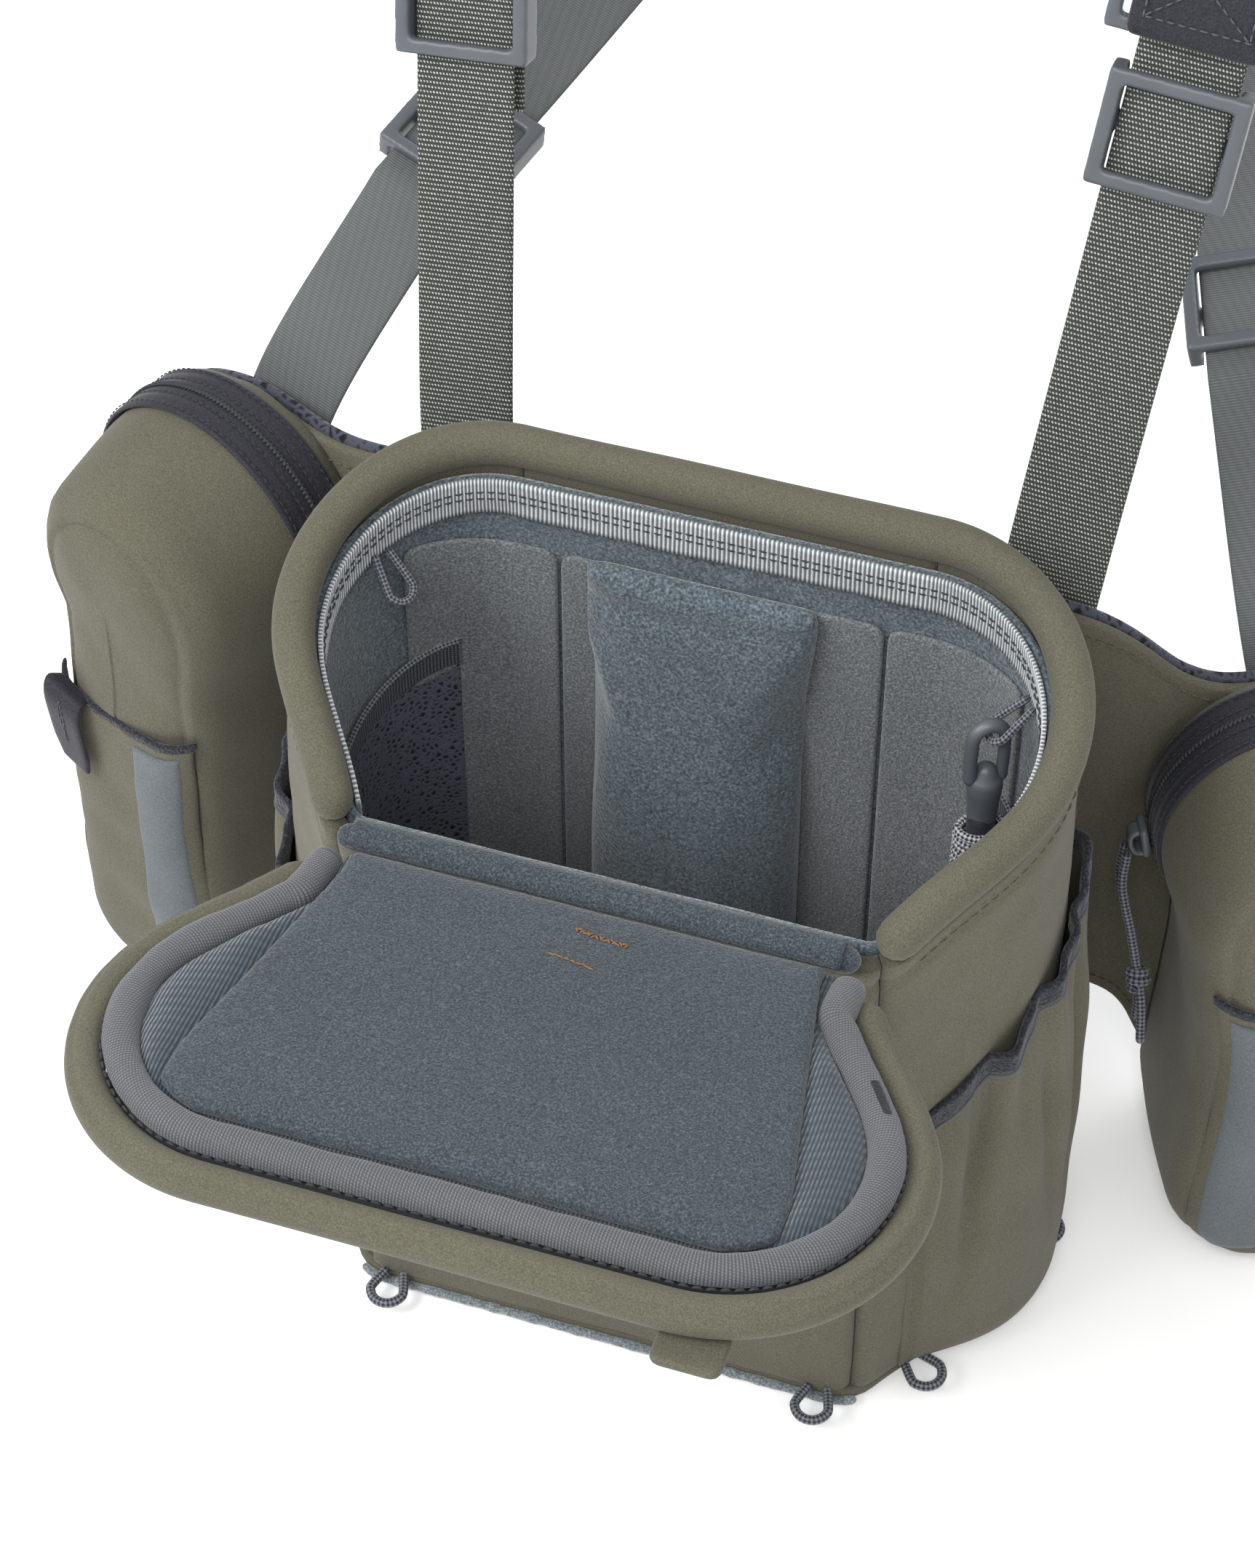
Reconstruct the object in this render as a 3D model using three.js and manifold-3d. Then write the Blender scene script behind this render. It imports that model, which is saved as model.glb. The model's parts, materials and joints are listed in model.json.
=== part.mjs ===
// A padded chest pack with a fold-down lid, two zipped side pouches and a
// shoulder harness, in millimetres. +Z is up, -Y faces away from the wearer, and
// the origin is the middle of the main pouch's flat base, which stands on a surface.
import * as THREE from 'three';
import { mergeVertices } from 'three/addons/utils/BufferGeometryUtils.js';
import Module from 'manifold-3d';

const wasm = await Module();
wasm.setup();

// ---------------------------------------------------------------- driving sizes
const GAP = 0.3; // clearance between neighbouring pieces
const FAR = 900; // longer than the whole object, for cutting blocks

const POUCH = {
  frontHalf: 75, // half the width of the flat front
  halfWidth: 99, // half the greatest width, at the sides
  depth: 104, // front face to back face
  frontHeight: 182, // height of the rim at the front wall
  backHeight: 223, // height of the rim at the back wall
  frontRadius: 13, // front upright corners
  backRadius: 46, // back upright corners
  wall: 6, // foam-backed softshell
  base: 4, // base panel
};
const ROLL_RADIUS = 5; // padded roll round the rim and round the lid
const ROLL_GAP = 0.8; // half the space between the two rolls when the lid is shut
const LINER = 2; // fleece lining
const BOARD = 2; // stiffener in the base
const TAPE = { thick: 1.2, deep: 9 }; // ribbed tape inside the rim
const MESH_POCKET = { thick: 1.2, low: 24, high: 128, slope: 0.55 };
const WEDGE = { left: -35, right: 27, top: 199, thickTop: 7, thickBase: 15 };
const SIDE_POCKET = {
  bulge: 9,
  edge: 3,
  low: 6,
  front: 108, // height of the mouth at frontY
  frontY: -38,
  slope: 0.72,
  top: 152,
  lip: 2.2,
};
const BACK_MESH = { halfWidth: 60, low: 14, high: 196, thick: 3 };
const HINGE = { radius: 4, forward: 4, halfLength: 68 };
const LASH = { cord: 1.3, half: 4.5, out: 10, height: 5 };
const ANCHOR = {
  cord: 1,
  half: 3.5,
  drop: 13,
  below: 4, // under the tape
  lean: 0.75,
  clear: 1.1,
  along: 0.36, // share of the back corner's arc
};

const LID = {
  rise: 8, // degrees above level when it rests open
  shell: 3.5, // outer softshell
  board: 1.8, // stiffener
  lining: 2.8, // fleece backing
  pad: 3, // raised middle of the fleece
  gasket: 3.5, // radius of the woven piping inside the roll
  padHalf: 72, // half width of the raised fleece
  padShort: 20, // how far the raised fleece stops short of the free edge
  padRound: 12, // its corners at the hinge
  padTaper: 14, // how much narrower each side is at the free edge
};
const TAB = { x: 60, width: 16, long: 16, thick: 2.2 };

const SIDE = {
  x: 108, // inner back corner of a side pouch
  y: 71.5,
  turn: 22, // degrees the pouch turns round the wearer
  radius: 38, // arch, which the zip follows
  archHeight: 149, // height of the arch's centre on the left
  slump: 17, // how much lower the right pouch has settled
  archEnd: 22, // degrees the arch runs on below its centre
  footHalf: 30, // half width at the foot
  footRadius: 19,
  depth: 58, // back to front
  wall: 3,
  soften: 8, // rounding of the front edge
};
const POCKET = { inset: 6, thick: 6, height: 108 };
const ZIP = { near: 3, far: 22, thick: 1.2, slider: [12, 9, 4.5], rest: 12 };
const PULL = { cord: 2.4, knot: 4.6, tail: 14 };
const WING = { thick: 3, inner: -50, outer: 74 };

const WEBBING = { width: 25.4, thick: 1.6 };
const FRONT_STRAP = { x: 73, y: 68.1, z: 150, tilt: 5, foot: 14, glide: 83, ring: 106 };
const GLIDE = { half: 14.5, bar: 3.8, side: 3.8, reach: 4.4, clear: 0.6 };
const RING = { half: 22, tall: 18.6, bar: 3.6 };
const FOLD = 3.7; // radius of the fold of webbing round a ring
const RETURN = 52; // length of the strap's tail behind itself
const PAD = { width: 47, thick: 7.5 };
const YOKE = { y: 290, thick: 8, top: 365, low: 252, topHalf: 86, lowHalf: 64 };
const SIDE_STRAP = { glideAt: 0.36 };

const CORD_SIDES = 8;
const COLOURS = {
  softshell: 0x6c6956,
  fleece: 0x4a565e,
  dark: 0x32323c,
  webbing: 0x4e5350,
  sideWebbing: 0x73777a,
  tape: 0xa9adb0,
  gasket: 0x646469,
  plastic: 0x5f6368,
  mesh: 0x2c2f36,
  board: 0x2b2d30,
};

// ---------------------------------------------------------------- small helpers
const rad = THREE.MathUtils.degToRad;
const v2 = (x, y) => new THREE.Vector2(x, y);
const v3 = (x, y, z) => new THREE.Vector3(x, y, z);

function solid(geometry) {
  const bare = geometry.clone();
  bare.deleteAttribute('normal');
  bare.deleteAttribute('uv');
  const merged = mergeVertices(bare, 1e-4);
  return new wasm.Manifold(
    new wasm.Mesh({
      numProp: 3,
      vertProperties: new Float32Array(merged.attributes.position.array),
      triVerts: new Uint32Array(merged.index.array),
    }),
  );
}

function geometryOf(manifold) {
  const mesh = manifold.getMesh();
  const count = mesh.vertProperties.length / mesh.numProp;
  const positions = new Float32Array(count * 3);
  for (let i = 0; i < count; i++) {
    const at = i * mesh.numProp;
    positions.set(mesh.vertProperties.subarray(at, at + 3), i * 3);
  }
  const geometry = new THREE.BufferGeometry();
  geometry.setAttribute('position', new THREE.BufferAttribute(positions, 3));
  geometry.setIndex(new THREE.BufferAttribute(new Uint32Array(mesh.triVerts), 1));
  geometry.computeVertexNormals();
  return geometry;
}

const join = (...pieces) => pieces.reduce((sum, piece) => sum.add(piece));

function box(x0, x1, y0, y1, z0, z1) {
  const geometry = new THREE.BoxGeometry(x1 - x0, y1 - y0, z1 - z0);
  geometry.translate((x0 + x1) / 2, (y0 + y1) / 2, (z0 + z1) / 2);
  return geometry;
}

function raise(shape, z0, z1) {
  const geometry = new THREE.ExtrudeGeometry(shape, { depth: z1 - z0, bevelEnabled: false });
  geometry.translate(0, 0, z0);
  return geometry;
}

function circle(radius, sides = CORD_SIDES) {
  const points = [];
  for (let i = 0; i < sides; i++) {
    const angle = (2 * Math.PI * i) / sides;
    points.push(v2(radius * Math.cos(angle), radius * Math.sin(angle)));
  }
  return new THREE.Shape(points);
}

function tube(points, radius, steps, sides = CORD_SIDES) {
  const path = new THREE.CatmullRomCurve3(points, false, 'centripetal');
  return new THREE.ExtrudeGeometry(circle(radius, sides), { steps, extrudePath: path });
}

// A band of even thickness along a line of 2D points.
function band(points, thick) {
  const left = [];
  const right = [];
  points.forEach((point, i) => {
    const before = points[Math.max(i - 1, 0)];
    const after = points[Math.min(i + 1, points.length - 1)];
    const back = point.clone().sub(before).normalize();
    const on = after.clone().sub(point).normalize();
    const tangent = back.clone().add(on).normalize();
    const ends = i === 0 || i === points.length - 1;
    const miter = ends ? 1 : tangent.dot(on);
    const normal = v2(-tangent.y, tangent.x).multiplyScalar(thick / 2 / miter);
    left.push(point.clone().add(normal));
    right.push(point.clone().sub(normal));
  });
  return new THREE.Shape([...right, ...left.reverse()]);
}

const smooth = (points, count) => new THREE.SplineCurve(points).getSpacedPoints(count);

// A band drawn in the plane of "along" and "rise", given a width across that plane.
function ribbon(points, thick, width, origin, along, rise) {
  const across = along.clone().cross(rise).normalize();
  const geometry = raise(band(points, thick), -width / 2, width / 2);
  geometry.applyMatrix4(new THREE.Matrix4().makeBasis(along, rise, across));
  geometry.translate(origin.x, origin.y, origin.z);
  return geometry;
}

function mesh(name, shape, colour, roughness = 0.9) {
  const geometry = shape.getMesh ? geometryOf(shape) : shape;
  const material = new THREE.MeshStandardMaterial({ color: colour, roughness, metalness: 0 });
  const made = new THREE.Mesh(geometry, material);
  made.name = name;
  return made;
}

const vest = new THREE.Group();
const SIDES = [
  ['left', -1],
  ['right', 1],
];

// ---------------------------------------------------------------- main pouch plan
const FRONT_Y = -POUCH.depth / 2;
const BACK_Y = POUCH.depth / 2;
const WIDEST_Y = BACK_Y - POUCH.backRadius;
const FLARE = rad(30); // angle at which the sides leave the front corners
const FLARE_PULL = 22; // length of the side curve's handles

// Half of the outer wall seen from above, from the front's middle to the back's.
const halfPlan = new THREE.Path();
halfPlan.arcLengthDivisions = 600;
const cornerX = POUCH.frontHalf - POUCH.frontRadius;
const cornerY = FRONT_Y + POUCH.frontRadius;
const flareStart = v2(
  cornerX + POUCH.frontRadius * Math.cos(FLARE),
  cornerY - POUCH.frontRadius * Math.sin(FLARE),
);
halfPlan.moveTo(0, FRONT_Y);
halfPlan.lineTo(cornerX, FRONT_Y);
halfPlan.absarc(cornerX, cornerY, POUCH.frontRadius, -Math.PI / 2, -FLARE, false);
halfPlan.bezierCurveTo(
  flareStart.x + FLARE_PULL * Math.sin(FLARE),
  flareStart.y + FLARE_PULL * Math.cos(FLARE),
  POUCH.halfWidth,
  WIDEST_Y - FLARE_PULL,
  POUCH.halfWidth,
  WIDEST_Y,
);
halfPlan.absarc(
  POUCH.halfWidth - POUCH.backRadius,
  WIDEST_Y,
  POUCH.backRadius,
  0,
  Math.PI / 2,
  false,
);
halfPlan.lineTo(0, BACK_Y);

const planLengths = halfPlan.getCurveLengths();
const PLAN_LENGTH = planLengths[planLengths.length - 1];
// Places along the wall, as a share of the half plan.
const FRONT_SEAM = (planLengths[0] + planLengths[1]) / 2 / PLAN_LENGTH;
const SIDE_START = planLengths[1] / PLAN_LENGTH;
const WIDEST = planLengths[2] / PLAN_LENGTH;
const BACK_SEAM = planLengths[3] / PLAN_LENGTH;

// A point on the wall: s runs 0 to 1 on the right, and below 0 on the left.
function wallPoint(s, offset = 0) {
  const share = Math.min(Math.abs(s), 1);
  const point = halfPlan.getPointAt(share);
  const tangent = halfPlan.getTangentAt(share);
  point.x += tangent.y * offset;
  point.y -= tangent.x * offset;
  if (s < 0) point.x = -point.x;
  return point;
}

const spread = (from, to, count) =>
  Array.from({ length: count + 1 }, (_, i) => from + ((to - from) * i) / count);

// Part of the wall as seen from above, between two places and two offsets.
function wallStrip(from, to, inner, outer, steps = 16) {
  const places = spread(from, to, steps);
  const out = places.map((s) => wallPoint(s, outer));
  const back = places.map((s) => wallPoint(s, inner)).reverse();
  return new THREE.Shape(from < 0 && to <= 0 ? [...back, ...out] : [...out, ...back]);
}

// Places from the right front round the back to the left front.
function roundBack(start, count) {
  const right = spread(start, 1, count);
  const left = spread(1, start, count)
    .slice(1)
    .map((s) => -s);
  return [...right, ...left];
}

function backStrip(start, inner, outer, count) {
  const places = roundBack(start, count);
  const out = places.map((s) => wallPoint(s, outer));
  const back = places.map((s) => wallPoint(s, inner)).reverse();
  return new THREE.Shape([...out, ...back]);
}

function wallLoop(offset, count) {
  const right = spread(0, 1, count);
  const left = right.slice(1, -1).reverse();
  return [...right.map((s) => wallPoint(s, offset)), ...left.map((s) => wallPoint(-s, offset))];
}

// ---------------------------------------------------------------- rim plane
const SLOPE = Math.atan((POUCH.backHeight - POUCH.frontHeight) / POUCH.depth);
const rimZ = (y) => POUCH.frontHeight + (y - FRONT_Y) * Math.tan(SLOPE);

// A block whose flat underside lies "drop" below the plane of the rim roll's middle.
function blockAboveRim(drop) {
  const geometry = new THREE.BoxGeometry(FAR, FAR, FAR);
  geometry.translate(0, 0, FAR / 2 - drop);
  geometry.rotateX(SLOPE);
  geometry.translate(0, FRONT_Y, POUCH.frontHeight);
  return solid(geometry);
}

const belowRim = (geometry, drop) => solid(geometry).subtract(blockAboveRim(drop));

const WALL_DROP = ROLL_RADIUS + GAP;
const WALL_FOOT = POUCH.base + GAP;
const TALL = POUCH.backHeight + 20;

// ---------------------------------------------------------------- main pouch
function panel(name, from, to, steps) {
  const shape = wallStrip(from, to, -POUCH.wall, 0, steps);
  const cut = belowRim(raise(shape, WALL_FOOT, TALL), WALL_DROP);
  vest.add(mesh(name, cut, COLOURS.softshell));
}

const SEAM = GAP / PLAN_LENGTH;
const HINGE_Y = FRONT_Y - HINGE.forward;
const HINGE_RISE = ROLL_RADIUS + ROLL_GAP;
const HINGE_Z = rimZ(HINGE_Y) + HINGE_RISE / Math.cos(SLOPE);

panel('front_panel', -FRONT_SEAM + SEAM, FRONT_SEAM - SEAM, 18);
panel('side_panel_right', FRONT_SEAM, BACK_SEAM, 20);
panel('side_panel_left', -BACK_SEAM, -FRONT_SEAM, 20);

{
  // The back panel's strip crosses the middle of the back, where s changes sign.
  const places = [...spread(BACK_SEAM + SEAM, 1, 3), ...spread(-1, -BACK_SEAM - SEAM, 3).slice(1)];
  const out = places.map((s) => wallPoint(s, 0));
  const back = places.map((s) => wallPoint(s, -POUCH.wall)).reverse();
  const shape = new THREE.Shape([...out, ...back]);
  const cut = belowRim(raise(shape, WALL_FOOT, TALL), WALL_DROP);
  vest.add(mesh('back_panel', cut, COLOURS.softshell));
}

vest.add(
  mesh(
    'base_panel',
    raise(new THREE.Shape(wallLoop(0, 26)), 0, POUCH.base),
    COLOURS.softshell,
  ),
);

const rollMiddle = (s) => {
  const point = wallPoint(s, -POUCH.wall / 2);
  return v3(point.x, point.y, rimZ(point.y));
};
vest.add(
  mesh(
    'rim_roll',
    tube(roundBack(SIDE_START, 24).map(rollMiddle), ROLL_RADIUS, 56, 10),
    COLOURS.softshell,
  ),
);

const INSIDE = -POUCH.wall - GAP; // offset of the walls' inner face
const BOARD_TOP = WALL_FOOT + BOARD;
vest.add(
  mesh(
    'base_board',
    raise(new THREE.Shape(wallLoop(INSIDE - GAP, 20)), WALL_FOOT, BOARD_TOP),
    COLOURS.board,
  ),
);

const LINER_FOOT = BOARD_TOP + GAP;
const LINER_FACE = INSIDE - LINER;
{
  const outside = raise(new THREE.Shape(wallLoop(INSIDE, 26)), LINER_FOOT, TALL);
  const hollow = raise(new THREE.Shape(wallLoop(LINER_FACE, 26)), LINER_FOOT + LINER, TALL + 1);
  const shell = belowRim(outside, WALL_DROP).subtract(solid(hollow));
  vest.add(mesh('liner', shell, COLOURS.fleece));
}

const TAPE_FACE = LINER_FACE - GAP - TAPE.thick;
{
  const ring = raise(backStrip(FRONT_SEAM + 0.02, TAPE_FACE, LINER_FACE - GAP, 20), 60, TALL);
  const strip = belowRim(ring, WALL_DROP).intersect(blockAboveRim(WALL_DROP + TAPE.deep));
  vest.add(mesh('rim_tape', strip, COLOURS.tape));
}

// Plane through the X axis direction that slopes up towards the back.
function blockAboveSlope(y, z, slope) {
  const geometry = new THREE.BoxGeometry(FAR, FAR, FAR);
  geometry.translate(0, 0, FAR / 2);
  geometry.rotateX(Math.atan(slope));
  geometry.translate(0, y, z);
  return solid(geometry);
}

for (const [side, sign] of SIDES) {
  const from = sign * (SIDE_START + 0.04);
  const to = sign * (BACK_SEAM - 0.08);
  const face = LINER_FACE - GAP;
  const shape = wallStrip(Math.min(from, to), Math.max(from, to), face - MESH_POCKET.thick, face);
  const sheet = solid(raise(shape, MESH_POCKET.low, TALL));
  const cut = sheet.subtract(blockAboveSlope(FRONT_Y, MESH_POCKET.high - 20, MESH_POCKET.slope));
  vest.add(mesh('mesh_pocket_' + side, cut, COLOURS.mesh));
}

// Foam wedge in the middle of the back wall.
const WEDGE_BACK = BACK_Y + LINER_FACE - GAP;
const WEDGE_FOOT = LINER_FOOT + LINER + GAP;
{
  const profile = new THREE.Shape([
    v2(WEDGE_BACK, WEDGE_FOOT),
    v2(WEDGE_BACK, WEDGE.top),
    v2(WEDGE_BACK - WEDGE.thickTop, WEDGE.top - 2),
    v2(WEDGE_BACK - WEDGE.thickBase, WEDGE.top - 90),
    v2(WEDGE_BACK - WEDGE.thickBase, WEDGE_FOOT),
  ]);
  const length = WEDGE.right - WEDGE.left;
  const geometry = raise(profile, 0, length);
  geometry.applyMatrix4(new THREE.Matrix4().makeBasis(v3(0, 1, 0), v3(0, 0, 1), v3(1, 0, 0)));
  geometry.translate(WEDGE.left, 0, 0);
  vest.add(mesh('divider_pad', geometry, COLOURS.fleece));
}

vest.add(
  mesh(
    'back_mesh',
    box(
      -BACK_MESH.halfWidth,
      BACK_MESH.halfWidth,
      BACK_Y + GAP,
      BACK_Y + GAP + BACK_MESH.thick,
      BACK_MESH.low,
      BACK_MESH.high,
    ),
    COLOURS.mesh,
  ),
);

// Padded fold that the lid turns on.
{
  const roll = new THREE.CylinderGeometry(HINGE.radius, HINGE.radius, 2 * HINGE.halfLength, 12);
  roll.rotateZ(Math.PI / 2);
  roll.translate(0, HINGE_Y, HINGE_Z);
  const tongue = box(
    -HINGE.halfLength,
    HINGE.halfLength,
    FRONT_Y,
    FRONT_Y + POUCH.wall,
    rimZ(FRONT_Y) - 3,
    HINGE_Z - 1,
  );
  const web = box(
    -HINGE.halfLength,
    HINGE.halfLength,
    HINGE_Y,
    FRONT_Y + POUCH.wall,
    HINGE_Z - 3.5,
    HINGE_Z - 1,
  );
  vest.add(mesh('hinge_fold', join(solid(roll), solid(tongue), solid(web)), COLOURS.fleece));
}

// Stretch pockets on the outside of the side walls, with a braided elastic lip.
const pocketTop = (y) => SIDE_POCKET.front + (y - SIDE_POCKET.frontY) * SIDE_POCKET.slope;
for (const [side, sign] of SIDES) {
  const start = SIDE_START + 0.03;
  const end = BACK_SEAM - 0.1;
  const places = spread(start, end, 16);
  const out = places.map((s, i) => {
    const swell = Math.sin((Math.PI * i) / 16);
    return wallPoint(s, SIDE_POCKET.edge + (SIDE_POCKET.bulge - SIDE_POCKET.edge) * swell);
  });
  const back = places.map((s) => wallPoint(s, GAP)).reverse();
  const outline = [...out, ...back];
  if (sign < 0) outline.forEach((point) => (point.x = -point.x));
  if (sign < 0) outline.reverse();
  const bag = solid(raise(new THREE.Shape(outline), SIDE_POCKET.low, TALL));
  const top = blockAboveSlope(SIDE_POCKET.frontY, SIDE_POCKET.front, SIDE_POCKET.slope);
  const level = solid(box(-FAR, FAR, -FAR, FAR, SIDE_POCKET.top, FAR));
  const cut = bag.subtract(top).subtract(level);
  vest.add(mesh('side_pocket_' + side, cut, COLOURS.softshell));

  const lip = spread(start, WIDEST + 0.06, 10).map((s, i) => {
    const swell = Math.sin((Math.PI * i) / 16);
    const offset = SIDE_POCKET.lip + 1 + (SIDE_POCKET.bulge - SIDE_POCKET.edge) * swell * 0.4;
    const point = wallPoint(s * sign, offset);
    const rise = (SIDE_POCKET.lip + GAP) * Math.hypot(1, SIDE_POCKET.slope);
    return v3(point.x, point.y, pocketTop(point.y) + rise + 0.3);
  });
  vest.add(mesh('side_pocket_binding_' + side, tube(lip, SIDE_POCKET.lip, 18), COLOURS.dark));
}

// A cord loop whose two ends meet a wall: "out" is its direction and "across" its spread.
function cordLoop(name, root, out, across, half, reach, cord) {
  const points = spread(-90, 90, 8).map((degrees) => {
    const angle = rad(degrees);
    const far = reach - half + half * Math.cos(angle);
    return root.clone().addScaledVector(out, far).addScaledVector(across, half * Math.sin(angle));
  });
  const nearEnd = root.clone().addScaledVector(across, -half * 0.6);
  const farEnd = root.clone().addScaledVector(across, half * 0.6);
  const path = [nearEnd, ...points, farEnd];
  vest.add(mesh(name, tube(path, cord, 22, 6), COLOURS.dark));
}

const LASH_PLACES = [
  ['front', FRONT_SEAM - 0.035],
  ['side', SIDE_START + 0.05],
  ['rear', WIDEST + 0.04],
];
for (const [side, sign] of SIDES) {
  for (const [place, s] of LASH_PLACES) {
    const pocketed = place === 'front' ? 0 : SIDE_POCKET.edge;
    const clear = 2 * GAP;
    const foot = wallPoint(s * sign, clear);
    const far = wallPoint(s * sign, clear + 10);
    const out = v3(far.x - foot.x, far.y - foot.y, 0).normalize();
    const across = v3(-out.y, out.x, 0);
    const height = pocketed ? SIDE_POCKET.low - LASH.cord - GAP : LASH.height;
    const root = v3(foot.x, foot.y, height);
    cordLoop(`lash_loop_${place}_${side}`, root, out, across, LASH.half, LASH.out, LASH.cord);
  }
}

// Small cord loops that hang inside, under the rim tape at the back corners.
const ANCHOR_S = WIDEST + (BACK_SEAM - WIDEST) * ANCHOR.along;
const anchorPoint = wallPoint(ANCHOR_S, LINER_FACE - GAP - ANCHOR.cord - ANCHOR.clear);
const ANCHOR_Z = rimZ(anchorPoint.y) - (WALL_DROP + TAPE.deep) / Math.cos(SLOPE) - ANCHOR.below;
const inward = v3(
  wallPoint(ANCHOR_S, -10).x - wallPoint(ANCHOR_S, 0).x,
  wallPoint(ANCHOR_S, -10).y - wallPoint(ANCHOR_S, 0).y,
  0,
).normalize();
const loopOut = v3(inward.x * ANCHOR.lean, inward.y * ANCHOR.lean, -0.7).normalize();
for (const [side, sign] of SIDES) {
  const root = v3(anchorPoint.x * sign, anchorPoint.y, ANCHOR_Z + 5);
  const out = v3(loopOut.x * sign, loopOut.y, loopOut.z);
  const across = v3(-inward.y * sign, inward.x, 0);
  cordLoop('anchor_loop_' + side, root, out, across, ANCHOR.half, ANCHOR.drop, ANCHOR.cord);
}

// ---------------------------------------------------------------- tether
// It swings on the right anchor loop, about the line of the loop's lowest stretch.
const TETHER_PIVOT = v3(anchorPoint.x, anchorPoint.y, ANCHOR_Z + 5).addScaledVector(
  loopOut,
  ANCHOR.drop,
);
const EYE = { bar: 2.2, half: 5.2, tall: 17, thick: 4.4 };
const BARREL = { top: 3.9, low: 3.1, long: 13 };
const HANK = { half: 7.5, thick: 13, long: 42 };
{
  const tether = new THREE.Group();
  tether.position.copy(TETHER_PIVOT);
  tether.rotation.z = Math.atan2(inward.y, inward.x);
  // The hook's eye lies across the loop, in the plane of "inward" and up.
  const outline = new THREE.Shape();
  const low = -EYE.tall;
  const high = ANCHOR.cord + GAP + 2 * EYE.bar;
  outline.absarc(0, high - EYE.half, EYE.half, 0, Math.PI, false);
  outline.lineTo(-EYE.half * 0.7, low);
  outline.lineTo(EYE.half * 0.7, low);
  const hole = new THREE.Path();
  const inner = EYE.half - EYE.bar;
  hole.absarc(0, high - EYE.half, inner, 0, Math.PI, false);
  hole.lineTo(-inner * 0.6, low + 3);
  hole.lineTo(inner * 0.6, low + 3);
  outline.holes.push(hole);
  const eye = raise(outline, -EYE.thick / 2, EYE.thick / 2);
  eye.rotateX(Math.PI / 2);
  const barrel = new THREE.CylinderGeometry(BARREL.top, BARREL.low, BARREL.long, 12);
  barrel.rotateX(Math.PI / 2);
  barrel.translate(0, 0, low + 1 - BARREL.long / 2);
  const hook = mesh('tether_hook', join(solid(eye), solid(barrel)), COLOURS.plastic, 0.45);

  const hankTop = low + 1 - BARREL.long - GAP;
  const stadium = new THREE.Shape();
  stadium.absarc(0, hankTop - HANK.half, HANK.half, 0, Math.PI, false);
  stadium.absarc(0, hankTop - HANK.long + HANK.half, HANK.half, Math.PI, 2 * Math.PI, false);
  const hank = raise(stadium, -HANK.thick / 2, HANK.thick / 2);
  hank.rotateX(Math.PI / 2);
  tether.add(hook);
  tether.add(mesh('tether_hank', hank, COLOURS.dark));
  vest.add(tether);
}

// ---------------------------------------------------------------- lid
// Its own frame: origin on the hinge line, +Y over the pouch, +Z out of the shut lid.
const lid = new THREE.Group();
lid.position.set(0, HINGE_Y, HINGE_Z);
lid.rotation.x = Math.PI - rad(LID.rise);
vest.add(lid);

function lidPoint(s, offset) {
  const point = wallPoint(s, offset);
  return v2(point.x, (point.y - HINGE_Y) / Math.cos(SLOPE));
}

const LID_ROLL_OFFSET = -POUCH.wall / 2;
const INSIDE_ROLL = LID_ROLL_OFFSET - ROLL_RADIUS - GAP;
const LID_START = HINGE.radius + 0.6; // where the lid's layers begin, from the hinge line

// The area inside the lid's roll, closed along the hinge.
function lidArea(offset, count) {
  const points = roundBack(SIDE_START, count).map((s) => lidPoint(s, offset));
  const first = points[0];
  const last = points[points.length - 1];
  return new THREE.Shape([v2(last.x, LID_START), v2(first.x, LID_START), ...points]);
}

const ROLL_MID = ROLL_RADIUS + ROLL_GAP;
lid.add(
  mesh(
    'lid_edge_roll',
    tube(
      roundBack(SIDE_START, 24).map((s) => {
        const point = lidPoint(s, LID_ROLL_OFFSET);
        return v3(point.x, point.y, ROLL_MID);
      }),
      ROLL_RADIUS,
      56,
      10,
    ),
    COLOURS.softshell,
  ),
);

const SHELL_TOP = ROLL_MID + ROLL_RADIUS - 0.5;
const SHELL_LOW = SHELL_TOP - LID.shell;
lid.add(
  mesh('lid_shell', raise(lidArea(INSIDE_ROLL, 20), SHELL_LOW, SHELL_TOP), COLOURS.softshell),
);

const LID_BOARD_TOP = SHELL_LOW - GAP;
const LID_BOARD_LOW = LID_BOARD_TOP - LID.board;
lid.add(
  mesh(
    'lid_board',
    raise(lidArea(INSIDE_ROLL - 1, 16), LID_BOARD_LOW, LID_BOARD_TOP),
    COLOURS.board,
  ),
);

const GASKET_OFFSET = INSIDE_ROLL - LID.gasket;
const GASKET_MID = LID_BOARD_LOW - GAP - LID.gasket;
lid.add(
  mesh(
    'lid_gasket',
    tube(
      roundBack(SIDE_START, 20).map((s) => {
        const point = lidPoint(s, GASKET_OFFSET);
        return v3(point.x, point.y, GASKET_MID);
      }),
      LID.gasket,
      48,
    ),
    COLOURS.gasket,
  ),
);

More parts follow.
